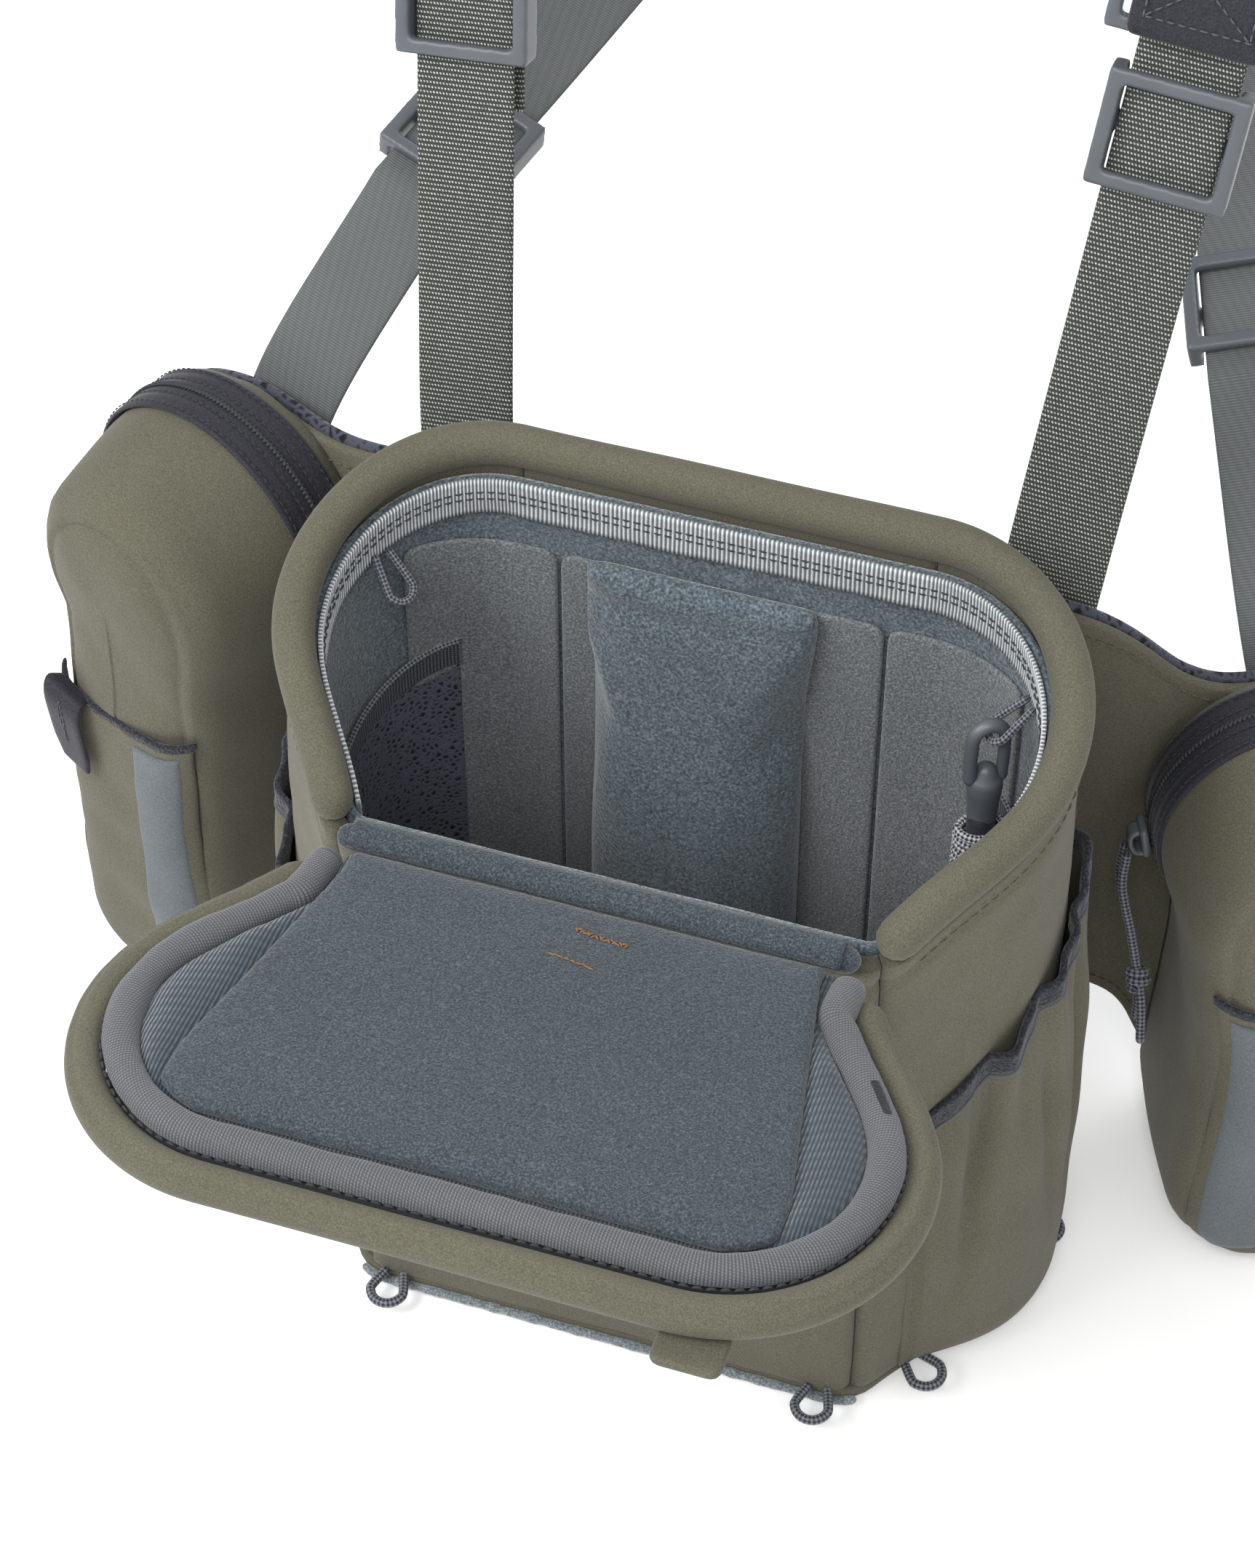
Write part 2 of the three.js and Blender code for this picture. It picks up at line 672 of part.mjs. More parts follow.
const LINING_OFFSET = GASKET_OFFSET - LID.gasket - GAP;
const LINING_TOP = LID_BOARD_LOW - GAP;
const LINING_LOW = LINING_TOP - LID.lining;
{
  const backing = raise(lidArea(LINING_OFFSET, 16), LINING_LOW, LINING_TOP);
  const edge = lidPoint(1, LINING_OFFSET).y - LID.padShort;
  const half = LID.padHalf;
  const round = LID.padRound;
  const raised = new THREE.Shape();
  raised.moveTo(-half + round, LID_START + 2);
  raised.lineTo(half - round, LID_START + 2);
  raised.absarc(half - round, LID_START + 2 + round, round, -Math.PI / 2, 0, false);
  raised.lineTo(half - LID.padTaper, edge);
  raised.lineTo(-half + LID.padTaper, edge);
  raised.lineTo(-half, LID_START + 2 + round);
  raised.absarc(-half + round, LID_START + 2 + round, round, Math.PI, 1.5 * Math.PI, false);
  const pad = solid(raise(raised, LINING_LOW - LID.pad, LINING_LOW + 1));
  const inside = solid(raise(lidArea(LINING_OFFSET, 16), -FAR, FAR));
  lid.add(mesh('lid_lining', solid(backing).add(pad.intersect(inside)), COLOURS.fleece));
}

{
  const edge = lidPoint(1, LID_ROLL_OFFSET + ROLL_RADIUS).y;
  const top = ROLL_MID + ROLL_RADIUS + GAP;
  const tab = box(
    TAB.x - TAB.width / 2,
    TAB.x + TAB.width / 2,
    edge + 6 - TAB.long,
    edge + 6,
    top,
    top + TAB.thick,
  );
  lid.add(mesh('lid_pull_tab', tab, COLOURS.softshell));
}

// ---------------------------------------------------------------- side pouches
// A pouch's own frame: X along its back from the inner end, -Y towards its front.
function tombstone(inset, archHeight) {
  const radius = SIDE.radius - inset;
  const end = rad(SIDE.archEnd);
  const middle = SIDE.radius;
  const foot = SIDE.footHalf - inset;
  const round = SIDE.footRadius - inset;
  const endX = radius * Math.cos(end);
  const endZ = archHeight - radius * Math.sin(end);
  const pull = 34; // handle length of the sides' easing curve
  const shape = new THREE.Shape();
  shape.moveTo(middle + foot, inset + round);
  shape.bezierCurveTo(
    middle + foot,
    inset + round + pull,
    middle + endX - pull * Math.sin(end),
    endZ - pull * Math.cos(end),
    middle + endX,
    endZ,
  );
  shape.absarc(middle, archHeight, radius, -end, Math.PI + end, false);
  shape.bezierCurveTo(
    middle - endX + pull * Math.sin(end),
    endZ - pull * Math.cos(end),
    middle - foot,
    inset + round + pull,
    middle - foot,
    inset + round,
  );
  shape.absarc(middle - foot + round, inset + round, round, Math.PI, 1.5 * Math.PI, false);
  shape.absarc(middle + foot - round, inset + round, round, -Math.PI / 2, 0, false);
  return shape;
}

// Extrudes a shape drawn in X and Z, from y0 (the front, softened) back to y1.
function standing(shape, y0, y1, soften = 0, curveSegments = 10) {
  const options = { depth: y1 - y0, bevelEnabled: false, curveSegments };
  if (soften) {
    options.depth = y1 - y0 - soften;
    options.bevelEnabled = true;
    options.bevelSize = soften;
    options.bevelOffset = -soften;
    options.bevelThickness = soften;
    options.bevelSegments = 2;
  }
  const geometry = new THREE.ExtrudeGeometry(shape, options);
  geometry.rotateX(Math.PI / 2);
  // The extrusion now runs towards -Y from its plane at zero.
  const front = soften ? -(options.depth + soften) : -options.depth;
  geometry.translate(0, y0 - front, 0);
  return geometry;
}

const archPoint = (archHeight, radius, degrees) =>
  v2(
    SIDE.radius + radius * Math.cos(rad(degrees)),
    archHeight + radius * Math.sin(rad(degrees)),
  );

function archBand(archHeight, inner, outer, fromDegrees, toDegrees, steps) {
  const angles = spread(fromDegrees, toDegrees, steps);
  const out = angles.map((degrees) => archPoint(archHeight, outer, degrees));
  const back = angles.map((degrees) => archPoint(archHeight, inner, degrees)).reverse();
  return new THREE.Shape([...out, ...back]);
}

const SLIDER_REST = 180 + ZIP.rest; // degrees round the arch

for (const [side, sign] of SIDES) {
  const mirror = new THREE.Group();
  mirror.scale.x = sign;
  vest.add(mirror);
  const pouch = new THREE.Group();
  pouch.position.set(SIDE.x, SIDE.y, 0);
  pouch.rotation.z = rad(SIDE.turn);
  mirror.add(pouch);

  const archHeight = SIDE.archHeight - (sign > 0 ? SIDE.slump : 0);
  const outer = solid(standing(tombstone(0, archHeight), -SIDE.depth, SIDE.soften, SIDE.soften));
  const behind = solid(box(-FAR, FAR, 0, FAR, -FAR, FAR));
  const innerFront = -SIDE.depth + SIDE.wall;
  const inner = solid(standing(tombstone(SIDE.wall, archHeight), innerFront, 20, SIDE.soften - 2));
  const shell = outer.subtract(behind).subtract(inner);
  pouch.add(mesh('side_pouch_' + side, shell, COLOURS.softshell));

  const pocketFront = -SIDE.depth - GAP - POCKET.thick;
  const pocketBody = solid(
    standing(tombstone(POCKET.inset, archHeight), pocketFront, -SIDE.depth - GAP, POCKET.thick - 2),
  );
  const mouth = solid(box(-FAR, FAR, -FAR, FAR, POCKET.height, FAR));
  const rear = solid(box(-FAR, FAR, -SIDE.depth - GAP, FAR, -FAR, FAR));
  const pocket = pocketBody.subtract(mouth).subtract(rear);
  pouch.add(mesh('pouch_pocket_' + side, pocket, COLOURS.softshell));

  const tapeIn = SIDE.radius + GAP;
  const tapeOut = tapeIn + ZIP.thick;
  const tape = archBand(archHeight, tapeIn, tapeOut, -SIDE.archEnd, 180 + SIDE.archEnd, 36);
  pouch.add(mesh('zip_tape_' + side, standing(tape, -ZIP.far, -ZIP.near), COLOURS.dark));

  const [long, wide, tall] = ZIP.slider;
  const zipMiddle = -(ZIP.near + ZIP.far) / 2;
  const slider = new THREE.Group();
  slider.position.set(SIDE.radius, zipMiddle, archHeight);
  slider.rotation.y = -rad(SLIDER_REST);
  const low = tapeOut + GAP + 0.4;
  const plate = solid(box(low, low + 2, -wide / 2, wide / 2, -long / 2, long / 2));
  const hood = solid(box(low + 1, low + tall, -wide / 4, wide / 4, -long / 4, long / 3));
  slider.add(mesh('zip_slider_' + side, join(plate, hood), COLOURS.plastic, 0.45));
  pouch.add(slider);

  // A doubled cord with a knot hangs from the slider beside the pouch.
  const start = archPoint(archHeight, low + tall + PULL.cord / 2 + GAP, SLIDER_REST + 5);
  const hang = [
    v3(start.x - 1.2, zipMiddle, start.y),
    v3(start.x - 1.5, zipMiddle - 3, start.y - 8),
    v3(start.x + 1.5, zipMiddle - 9, start.y - 20),
    v3(start.x + 3.5, zipMiddle - 15, start.y - 33),
  ];
  const end = hang[hang.length - 1];
  const tails = [
    end,
    v3(end.x, end.y - 5, end.z - PULL.tail / 2),
    v3(end.x, end.y - 9, end.z - PULL.tail),
  ];
  const knot = new THREE.SphereGeometry(PULL.knot, 10, 8);
  knot.translate(end.x, end.y, end.z);
  const cord = join(
    solid(tube(hang, PULL.cord, 10)),
    solid(knot),
    solid(tube(tails, PULL.cord * 0.9, 4)),
  );
  pouch.add(mesh('zip_pull_' + side, cord, COLOURS.dark));

  const wing = new THREE.Shape([
    v2(WING.inner, 62),
    v2(-2, 48),
    v2(10, 18),
    v2(20, 6),
    v2(WING.outer - 17, 6),
    v2(WING.outer - 7, 18),
    v2(WING.outer - 4, 90),
    v2(WING.outer, archHeight - 20),
    v2(WING.outer, archHeight + 8),
    v2(WING.outer - 12, archHeight + 26),
    v2(SIDE.radius, archHeight + 34),
    v2(12, archHeight + 30),
    v2(-14, 188),
    v2(WING.inner, 202),
  ]);
  pouch.add(mesh('wing_' + side, standing(wing, GAP, GAP + WING.thick), COLOURS.softshell));
}

// ---------------------------------------------------------------- harness
function glideSolid() {
  const { half, bar, side, reach, clear } = GLIDE;
  const inner = WEBBING.width / 2 + clear;
  const face = WEBBING.thick / 2 + clear;
  const bars = [
    box(-inner - side, -inner, -half, half, -reach, reach),
    box(inner, inner + side, -half, half, -reach, reach),
    box(-inner - 1, inner + 1, -half, -half + bar, face, reach),
    box(-inner - 1, inner + 1, half - bar, half, face, reach),
    box(-inner - 1, inner + 1, -bar / 2, bar / 2, -reach, -face),
  ];
  return join(...bars.map(solid));
}

function ringSolid() {
  const outer = new THREE.Shape([
    v2(-RING.half, 0),
    v2(RING.half, 0),
    v2(RING.half, RING.tall),
    v2(-RING.half, RING.tall),
  ]);
  const inX = RING.half - RING.bar;
  outer.holes.push(
    new THREE.Path([
      v2(-inX, RING.bar),
      v2(-inX, RING.tall - RING.bar),
      v2(inX, RING.tall - RING.bar),
      v2(inX, RING.bar),
    ]),
  );
  const geometry = raise(outer, -RING.bar / 2, RING.bar / 2);
  geometry.translate(0, -RING.bar / 2, 0);
  return geometry;
}

// Half a turn of 2D points round a centre, from one angle to another.
const turn2 = (centre, radius, from, to, count) =>
  spread(from, to, count).map((degrees) =>
    v2(centre.x + radius * Math.cos(rad(degrees)), centre.y + radius * Math.sin(rad(degrees))),
  );

// The front strap in its own plane: X up the strap, Y away from the front.
const LEAN = v2(3, 1).normalize(); // the straight stretch leans back one in three
const STRAIGHT_FROM = v2(80, 13);
const alongStrap = (distance, back = 0) =>
  v2(
    STRAIGHT_FROM.x + LEAN.x * distance - LEAN.y * back,
    STRAIGHT_FROM.y + LEAN.y * distance + LEAN.x * back,
  );
const leanDegrees = THREE.MathUtils.radToDeg(Math.atan2(LEAN.y, LEAN.x));

for (const [side, sign] of SIDES) {
  const mirror = new THREE.Group();
  mirror.scale.x = sign;
  vest.add(mirror);

  const tilt = rad(FRONT_STRAP.tilt);
  const up = v3(Math.sin(tilt), 0, Math.cos(tilt));
  const back = v3(0, 1, 0);
  const origin = v3(FRONT_STRAP.x, FRONT_STRAP.y, FRONT_STRAP.z);
  const ringMiddle = alongStrap(FRONT_STRAP.ring, FOLD);
  const lower = smooth([v2(-FRONT_STRAP.foot, 0), v2(22, 0), v2(52, 4.5), STRAIGHT_FROM], 12);
  const path = [
    ...lower,
    alongStrap(FRONT_STRAP.ring),
    ...turn2(ringMiddle, FOLD, leanDegrees - 90, leanDegrees + 90, 8).slice(1),
    alongStrap(FRONT_STRAP.ring - RETURN, 2 * FOLD),
  ];
  const strap = ribbon(path, WEBBING.thick, WEBBING.width, origin, up, back);
  mirror.add(mesh('front_strap_' + side, strap, COLOURS.webbing));

  // Frame on the strap: X across it, Y up it, Z out of its front face.
  const inStrap = (point) =>
    origin.clone().addScaledVector(up, point.x).addScaledVector(back, point.y);
  const upStrap = up.clone().multiplyScalar(LEAN.x).addScaledVector(back, LEAN.y);
  const faceOut = up.clone().multiplyScalar(LEAN.y).addScaledVector(back, -LEAN.x);
  const basis = new THREE.Matrix4().makeBasis(upStrap.clone().cross(faceOut), upStrap, faceOut);
  const place = (object, point) => {
    object.quaternion.setFromRotationMatrix(basis);
    object.position.copy(inStrap(point));
    mirror.add(object);
  };
  const glide = mesh('triglide_' + side, glideSolid(), COLOURS.plastic, 0.45);
  place(glide, alongStrap(FRONT_STRAP.glide));
  place(mesh('ring_' + side, ringSolid(), COLOURS.plastic, 0.45), ringMiddle);

  // Shoulder pad, with a tongue of webbing folded round the ring's upper bar.
  const upperBar = alongStrap(FRONT_STRAP.ring + RING.tall - RING.bar, FOLD);
  const tongue = [
    alongStrap(FRONT_STRAP.ring + RING.tall + 16, 0.9),
    ...turn2(upperBar, FOLD, leanDegrees + 270, leanDegrees + 90, 8),
    alongStrap(FRONT_STRAP.ring + RING.tall + 16, 2 * FOLD - 0.9),
  ];
  const tongueSolid = solid(ribbon(tongue, WEBBING.thick, WEBBING.width, origin, up, back));
  const padStart = inStrap(alongStrap(FRONT_STRAP.ring + RING.tall + 8, FOLD));
  const padEnd = v3(66, YOKE.y + YOKE.thick / 2, YOKE.top + GAP);
  const level = v3(padEnd.x - padStart.x, padEnd.y - padStart.y, 0);
  const span = level.length();
  level.normalize();
  const drop = padEnd.z - padStart.z;
  const arch = smooth(
    [
      v2(0, 0),
      v2(span * 0.1, 18),
      v2(span * 0.3, 34),
      v2(span * 0.55, 39),
      v2(span * 0.8, 31),
      v2(span * 0.95, 15),
      v2(span, drop + 3),
      v2(span, drop),
    ],
    26,
  );
  const pad = solid(ribbon(arch, PAD.thick, PAD.width, padStart, level, v3(0, 0, 1)));
  const seam = solid(box(-FAR, FAR, YOKE.y - 40, FAR, -FAR, YOKE.top + GAP));
  const padded = tongueSolid.add(pad.subtract(seam));
  mirror.add(mesh('shoulder_pad_' + side, padded, COLOURS.dark));

  // Side strap, from the back of the wing round to the yoke, in one slanted plane.
  const foot = v3(146, 93.4, 132);
  const knee = v3(113, 132, 222);
  const far = v3(62, YOKE.y - 5, 264);
  const along = far.clone().sub(foot).normalize();
  const across = along.clone().cross(knee.clone().sub(foot)).normalize();
  const rise = across.clone().cross(along);
  const flat = (point) => {
    const from = point.clone().sub(foot);
    return v2(from.dot(along), from.dot(rise));
  };
  const kneeFlat = flat(knee);
  const farFlat = flat(far);
  const bend = flat(v3(93, 198, 238));
  const lead = flat(v3(136, 94.5, 182));
  const sidePath = [
    ...smooth([v2(0, 0), lead, kneeFlat], 10),
    ...smooth([bend, farFlat], 4),
  ];
  const sideStrap = ribbon(sidePath, WEBBING.thick, WEBBING.width, foot, along, rise);
  mirror.add(mesh('side_strap_' + side, sideStrap, COLOURS.sideWebbing));

  const run = bend.clone().sub(kneeFlat).normalize();
  const runUp = along.clone().multiplyScalar(run.x).addScaledVector(rise, run.y);
  const runOut = along.clone().multiplyScalar(-run.y).addScaledVector(rise, run.x);
  const sideBasis = new THREE.Matrix4().makeBasis(runUp.clone().cross(runOut), runUp, runOut);
  const sideGlide = mesh('side_triglide_' + side, glideSolid(), COLOURS.plastic, 0.45);
  const glideFlat = kneeFlat.clone().addScaledVector(run, SIDE_STRAP.glideAt * 60);
  sideGlide.quaternion.setFromRotationMatrix(sideBasis);
  sideGlide.position
    .copy(foot)
    .addScaledVector(along, glideFlat.x)
    .addScaledVector(rise, glideFlat.y);
  mirror.add(sideGlide);
}

{
  const outline = new THREE.Shape([
    v2(-YOKE.lowHalf, YOKE.low),
    v2(YOKE.lowHalf, YOKE.low),
    v2(YOKE.topHalf - 10, YOKE.low + 50),
    v2(YOKE.topHalf, YOKE.top),
    v2(-YOKE.topHalf, YOKE.top),
    v2(-YOKE.topHalf + 10, YOKE.low + 50),
  ]);
  const plate = standing(outline, YOKE.y, YOKE.y + YOKE.thick);
  vest.add(mesh('yoke', plate, COLOURS.softshell));
  const inset = new THREE.Shape([
    v2(-YOKE.lowHalf + 28, YOKE.low + 8),
    v2(YOKE.lowHalf - 28, YOKE.low + 8),
    v2(YOKE.topHalf - 30, YOKE.low + 54),
    v2(YOKE.topHalf - 12, YOKE.top - 10),
    v2(-YOKE.topHalf + 12, YOKE.top - 10),
    v2(-YOKE.topHalf + 30, YOKE.low + 54),
  ]);
  const lining = standing(inset, YOKE.y - GAP - 2.4, YOKE.y - GAP);
  vest.add(mesh('yoke_mesh', lining, COLOURS.mesh));
}

export default vest;
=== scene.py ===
"""The padded chest pack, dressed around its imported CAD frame.

Lengths are in millimetres until make() turns them into metres. +Z is up, -Y faces
away from the wearer, and the origin is the middle of the main pouch's base.
"""

import json
import math

import bmesh
import bpy
import numpy as np
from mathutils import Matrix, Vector

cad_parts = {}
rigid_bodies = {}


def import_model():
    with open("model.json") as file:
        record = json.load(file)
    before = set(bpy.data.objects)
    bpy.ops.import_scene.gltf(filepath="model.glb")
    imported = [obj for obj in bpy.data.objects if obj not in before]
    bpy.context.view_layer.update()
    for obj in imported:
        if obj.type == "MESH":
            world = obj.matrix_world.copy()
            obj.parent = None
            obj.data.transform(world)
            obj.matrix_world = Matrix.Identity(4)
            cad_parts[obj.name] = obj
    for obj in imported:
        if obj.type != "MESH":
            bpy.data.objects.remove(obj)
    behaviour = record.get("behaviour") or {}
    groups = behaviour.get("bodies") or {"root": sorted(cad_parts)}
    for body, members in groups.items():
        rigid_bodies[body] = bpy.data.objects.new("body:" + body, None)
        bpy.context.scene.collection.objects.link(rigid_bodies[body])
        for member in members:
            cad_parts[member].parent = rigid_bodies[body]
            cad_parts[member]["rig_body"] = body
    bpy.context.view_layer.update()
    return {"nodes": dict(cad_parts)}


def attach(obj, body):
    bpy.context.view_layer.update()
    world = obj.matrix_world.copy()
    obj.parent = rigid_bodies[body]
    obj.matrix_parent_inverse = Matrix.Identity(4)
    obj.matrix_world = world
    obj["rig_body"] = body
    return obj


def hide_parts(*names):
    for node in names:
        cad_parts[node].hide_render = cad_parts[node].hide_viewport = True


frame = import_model()
NODES = frame["nodes"]

MM = 0.001
TAU = 2 * math.pi
SIDES = (("left", -1), ("right", 1))

# ------------------------------------------------------------------ sizes, as in the CAD
GAP = 0.3
FRONT_HALF, HALF_WIDTH, DEPTH = 75, 99, 104
FRONT_HEIGHT, BACK_HEIGHT = 182, 223
FRONT_RADIUS, BACK_RADIUS = 13, 46
WALL, ROLL, ROLL_GAP, LINER = 6, 5, 0.8, 2
FRONT_Y, BACK_Y = -DEPTH / 2, DEPTH / 2
SLOPE = math.atan((BACK_HEIGHT - FRONT_HEIGHT) / DEPTH)
HINGE_OUT = 4  # how far the hinge stands in front of the front wall
HINGE_Y = FRONT_Y - HINGE_OUT
HINGE_Z = FRONT_HEIGHT - HINGE_OUT * math.tan(SLOPE) + (ROLL + ROLL_GAP) / math.cos(SLOPE)
LID_TURN = math.radians(180 - 8)  # the open lid rises 8 degrees above level
WALL_DROP = ROLL + GAP
LINER_FACE = -WALL - GAP - LINER
TAPE_DEEP = 9
POUCH_X, POUCH_Y, POUCH_TURN = 108, 71.5, math.radians(22)
ARCH_RADIUS, FOOT_HALF, FOOT_RADIUS = 38, 30, 19
ARCH_HEIGHT = {"left": 149, "right": 132}
ARCH_END = math.radians(22)
POCKET_TOP = 108
WEBBING_WIDTH, WEBBING_THICK = 25.4, 1.6
YOKE_Y, YOKE_THICK, YOKE_TOP, YOKE_LOW = 290, 8, 365, 252
YOKE_TOP_HALF, YOKE_LOW_HALF = 86, 64


# ------------------------------------------------------------------ materials
def srgb(r, g, b):
    """A linear colour from 0-255 sRGB."""
    def linear(v):
        v /= 255
        return v / 12.92 if v <= 0.04045 else ((v + 0.055) / 1.055) ** 2.4

    return (linear(r), linear(g), linear(b), 1.0)


class Look:
    """One procedural material."""

    def __init__(self, name, roughness, sheen=0.0, specular=0.3):
        self.made = bpy.data.materials.new(name)
        self.made.use_nodes = True
        self.tree = self.made.node_tree
        self.shader = self.tree.nodes["Principled BSDF"]
        settings = {
            "Roughness": roughness,
            "Sheen Weight": sheen,
            "Sheen Roughness": 0.45,
            "Specular IOR Level": specular,
        }
        for key, value in settings.items():
            self.shader.inputs[key].default_value = value
        self.coords = self.tree.nodes.new("ShaderNodeTexCoord")
        self.normal = None

    def put(self, kind, inputs=None, **settings):
        node = self.tree.nodes.new("ShaderNode" + kind)
        for key, value in settings.items():
            setattr(node, key, value)
        for key, value in (inputs or {}).items():
            if isinstance(value, bpy.types.NodeSocket):
                self.tree.links.new(value, node.inputs[key])
            else:
                node.inputs[key].default_value = value
        return node

    def math(self, operation, a, b=0.0):
        return self.put("Math", {0: a, 1: b}, operation=operation).outputs[0]

    def noise(self, size, detail=3.0, stretch=(1, 1, 1)):
        """Noise whose features are about "size" mm across."""
        scaled = self.put(
            "Mapping", {"Vector": self.coords.outputs["Object"], "Scale": stretch}
        )
        vector = scaled.outputs["Vector"]
        values = {"Vector": vector, "Scale": 1 / (size * MM), "Detail": detail}
        return self.put("TexNoise", values).outputs["Fac"]

    def cells(self, size, feature="F1"):
        values = {"Vector": self.coords.outputs["Object"], "Scale": 1 / (size * MM)}
        return self.put("TexVoronoi", values, feature=feature).outputs["Distance"]

    def stripe(self, along, across, period, slant=0.0):
        """A sine from 0 to 1 along u (metres), v or a mix of the two."""
        split = self.put("SeparateXYZ", {"Vector": self.coords.outputs["UV"]})
        u = self.math("MULTIPLY", split.outputs["X"], along * TAU / (period * MM))
        v = self.math("MULTIPLY", split.outputs["Y"], across * TAU / (period * MM))
        angle = self.math("ADD", self.math("ADD", u, v), slant)
        wave = self.math("SINE", angle)
        return self.math("ADD", self.math("MULTIPLY", wave, 0.5), 0.5)

    def ramp(self, value, *stops):
        node = self.put("ValToRGB", {"Fac": value})
        points = node.color_ramp.elements
        while len(points) < len(stops):
            points.new(0.5)
        for point, (place, colour) in zip(points, stops):
            point.position = place
            point.color = colour
        return node.outputs["Color"]

    def mix(self, share, a, b, mode="MIX"):
        node = self.put("Mix", {0: share}, data_type="RGBA", blend_type=mode)
        for index, value in ((6, a), (7, b)):
            if isinstance(value, bpy.types.NodeSocket):
                self.tree.links.new(value, node.inputs[index])
            else:
                node.inputs[index].default_value = value
        return node.outputs[2]

    def colour(self, socket, mottle=0.0, size=40):
        """Base colour, with soft patches of light and dark."""
        if mottle:
            low, high = 1 - mottle, 1 + mottle
            patches = self.ramp(
                self.noise(size, 2), (0.3, (low, low, low, 1)), (0.7, (high, high, high, 1))
            )
            socket = self.mix(1.0, socket, patches, "MULTIPLY")
        self.tree.links.new(socket, self.shader.inputs["Base Color"])

    def bump(self, height, depth, strength=1.0):
        """Adds relief "depth" mm deep."""
        values = {"Height": height, "Distance": depth * MM, "Strength": strength}
        if self.normal:
            values["Normal"] = self.normal
        self.normal = self.put("Bump", values).outputs["Normal"]
        for link in list(self.shader.inputs["Normal"].links):
            self.tree.links.remove(link)
        self.tree.links.new(self.normal, self.shader.inputs["Normal"])


def knit(name, dark, middle, light, size, depth, sheen=0.35, roughness=0.9, mottle=0.06):
    """A fabric of fine flecks with a soft nap."""
    look = Look(name, roughness, sheen, 0.2)
    flecks = look.noise(size, 4)
    look.colour(look.ramp(flecks, (0.32, dark), (0.5, middle), (0.7, light)), mottle)
    look.bump(look.noise(size * 1.3, 3), depth)
    look.bump(look.noise(22, 2), 0.7, 0.35)
    return look


softshell = knit(
    "softshell", srgb(74, 72, 60), srgb(86, 84, 71), srgb(98, 96, 82), 0.4, 0.1, 0.1
)
softshell.bump(softshell.noise(0.5, 1, (1, 1, 2.6)), 0.09, 0.8)
fleece = knit("fleece", srgb(50, 58, 64), srgb(78, 88, 95), srgb(112, 121, 127), 0.75, 0.5, 0.4)
lid_fleece = knit(
    "lid_fleece", srgb(38, 44, 49), srgb(56, 63, 69), srgb(82, 90, 96), 0.5, 0.35, 0.25
)
felt = knit("felt", srgb(70, 74, 77), srgb(96, 100, 102), srgb(130, 133, 132), 0.6, 0.5, 0.3)
trim_fleece = knit(
    "trim_fleece", srgb(80, 88, 94), srgb(112, 119, 124), srgb(150, 156, 160), 0.6, 0.6, 0.6
)
stretch_grey = knit(
    "stretch_grey", srgb(76, 81, 85), srgb(89, 94, 98), srgb(102, 107, 111), 0.35, 0.08, 0.15
)
dark_nylon = knit(
    "dark_nylon", srgb(29, 29, 35), srgb(39, 39, 46), srgb(50, 50, 57), 0.5, 0.06, 0.12, 0.6
)
velour = knit("velour", srgb(26, 27, 32), srgb(38, 39, 45), srgb(62, 64, 71), 0.7, 0.5, 0.2)


def woven(
    name, dark, light, along, across, depth, sheen=0.2, roughness=0.85, weight=0.5, span=(0.18, 0.8)
):
    """A fabric whose threads follow the piece's length and width."""
    look = Look(name, roughness, sheen, 0.25)
    rows = look.stripe(1, 0, along)
    threads = look.stripe(0.33, 1, across)
    threads = look.math("ADD", look.math("MULTIPLY", threads, 1 - weight), weight)
    mask = look.math("MULTIPLY", rows, threads)
    rough = look.math("MULTIPLY", mask, look.math("ADD", look.noise(0.8, 2), 0.5))
    look.colour(look.ramp(rough, (span[0], dark), (span[1], light)), 0.05)
    look.bump(mask, depth)
    return look


webbing = woven("webbing", srgb(50, 52, 49), srgb(190, 192, 186), 1.25, 0.85, 0.3, 0.1, 0.8, 0.3,
                (0.38, 1.0))
side_webbing = woven(
    "side_webbing", srgb(78, 81, 81), srgb(98, 101, 101), 0.7, 2.6, 0.08, 0.1, 0.75, 0.6
)
grosgrain = woven("grosgrain", srgb(104, 109, 112), srgb(208, 211, 213), 1.15, 3.0, 0.2, 0.15, 0.6, 0.9)
piping = woven("piping", srgb(70, 71, 75), srgb(108, 108, 112), 0.75, 0.75, 0.15, 0.2, 0.85, 0.4)
elastic = woven("elastic", srgb(36, 39, 45), srgb(92, 96, 104), 1.0, 0.8, 0.3, 0.15, 0.85, 0.3)
rib_knit = woven("rib_knit", srgb(50, 59, 66), srgb(76, 86, 94), 0.95, 3.0, 0.4, 0.35, 0.95, 0.6)


def braid(name, dark, light):
    """Cord: u is the length in metres and v the share of the way round."""
    look = Look(name, 0.82, 0.15, 0.25)
    split = look.put("SeparateXYZ", {"Vector": look.coords.outputs["UV"]})
    u = look.math("MULTIPLY", split.outputs["X"], TAU / (2.1 * MM))
    v = look.math("MULTIPLY", split.outputs["Y"], TAU * 3)
    one = look.math("SINE", look.math("ADD", u, v))
    two = look.math("SINE", look.math("SUBTRACT", u, v))
    weave = look.math("ADD", look.math("MULTIPLY", look.math("MULTIPLY", one, two), 0.5), 0.5)
    flecks = look.math("MULTIPLY", weave, look.math("ADD", look.noise(0.7, 2), 0.35))
    look.colour(look.ramp(flecks, (0.25, dark), (0.62, light)))
    look.bump(weave, 0.35)
    return look


cord_look = braid("braided_cord", srgb(48, 50, 56), srgb(120, 123, 130))
fleck_cord = braid("flecked_cord", srgb(38, 40, 50), srgb(176, 177, 177))

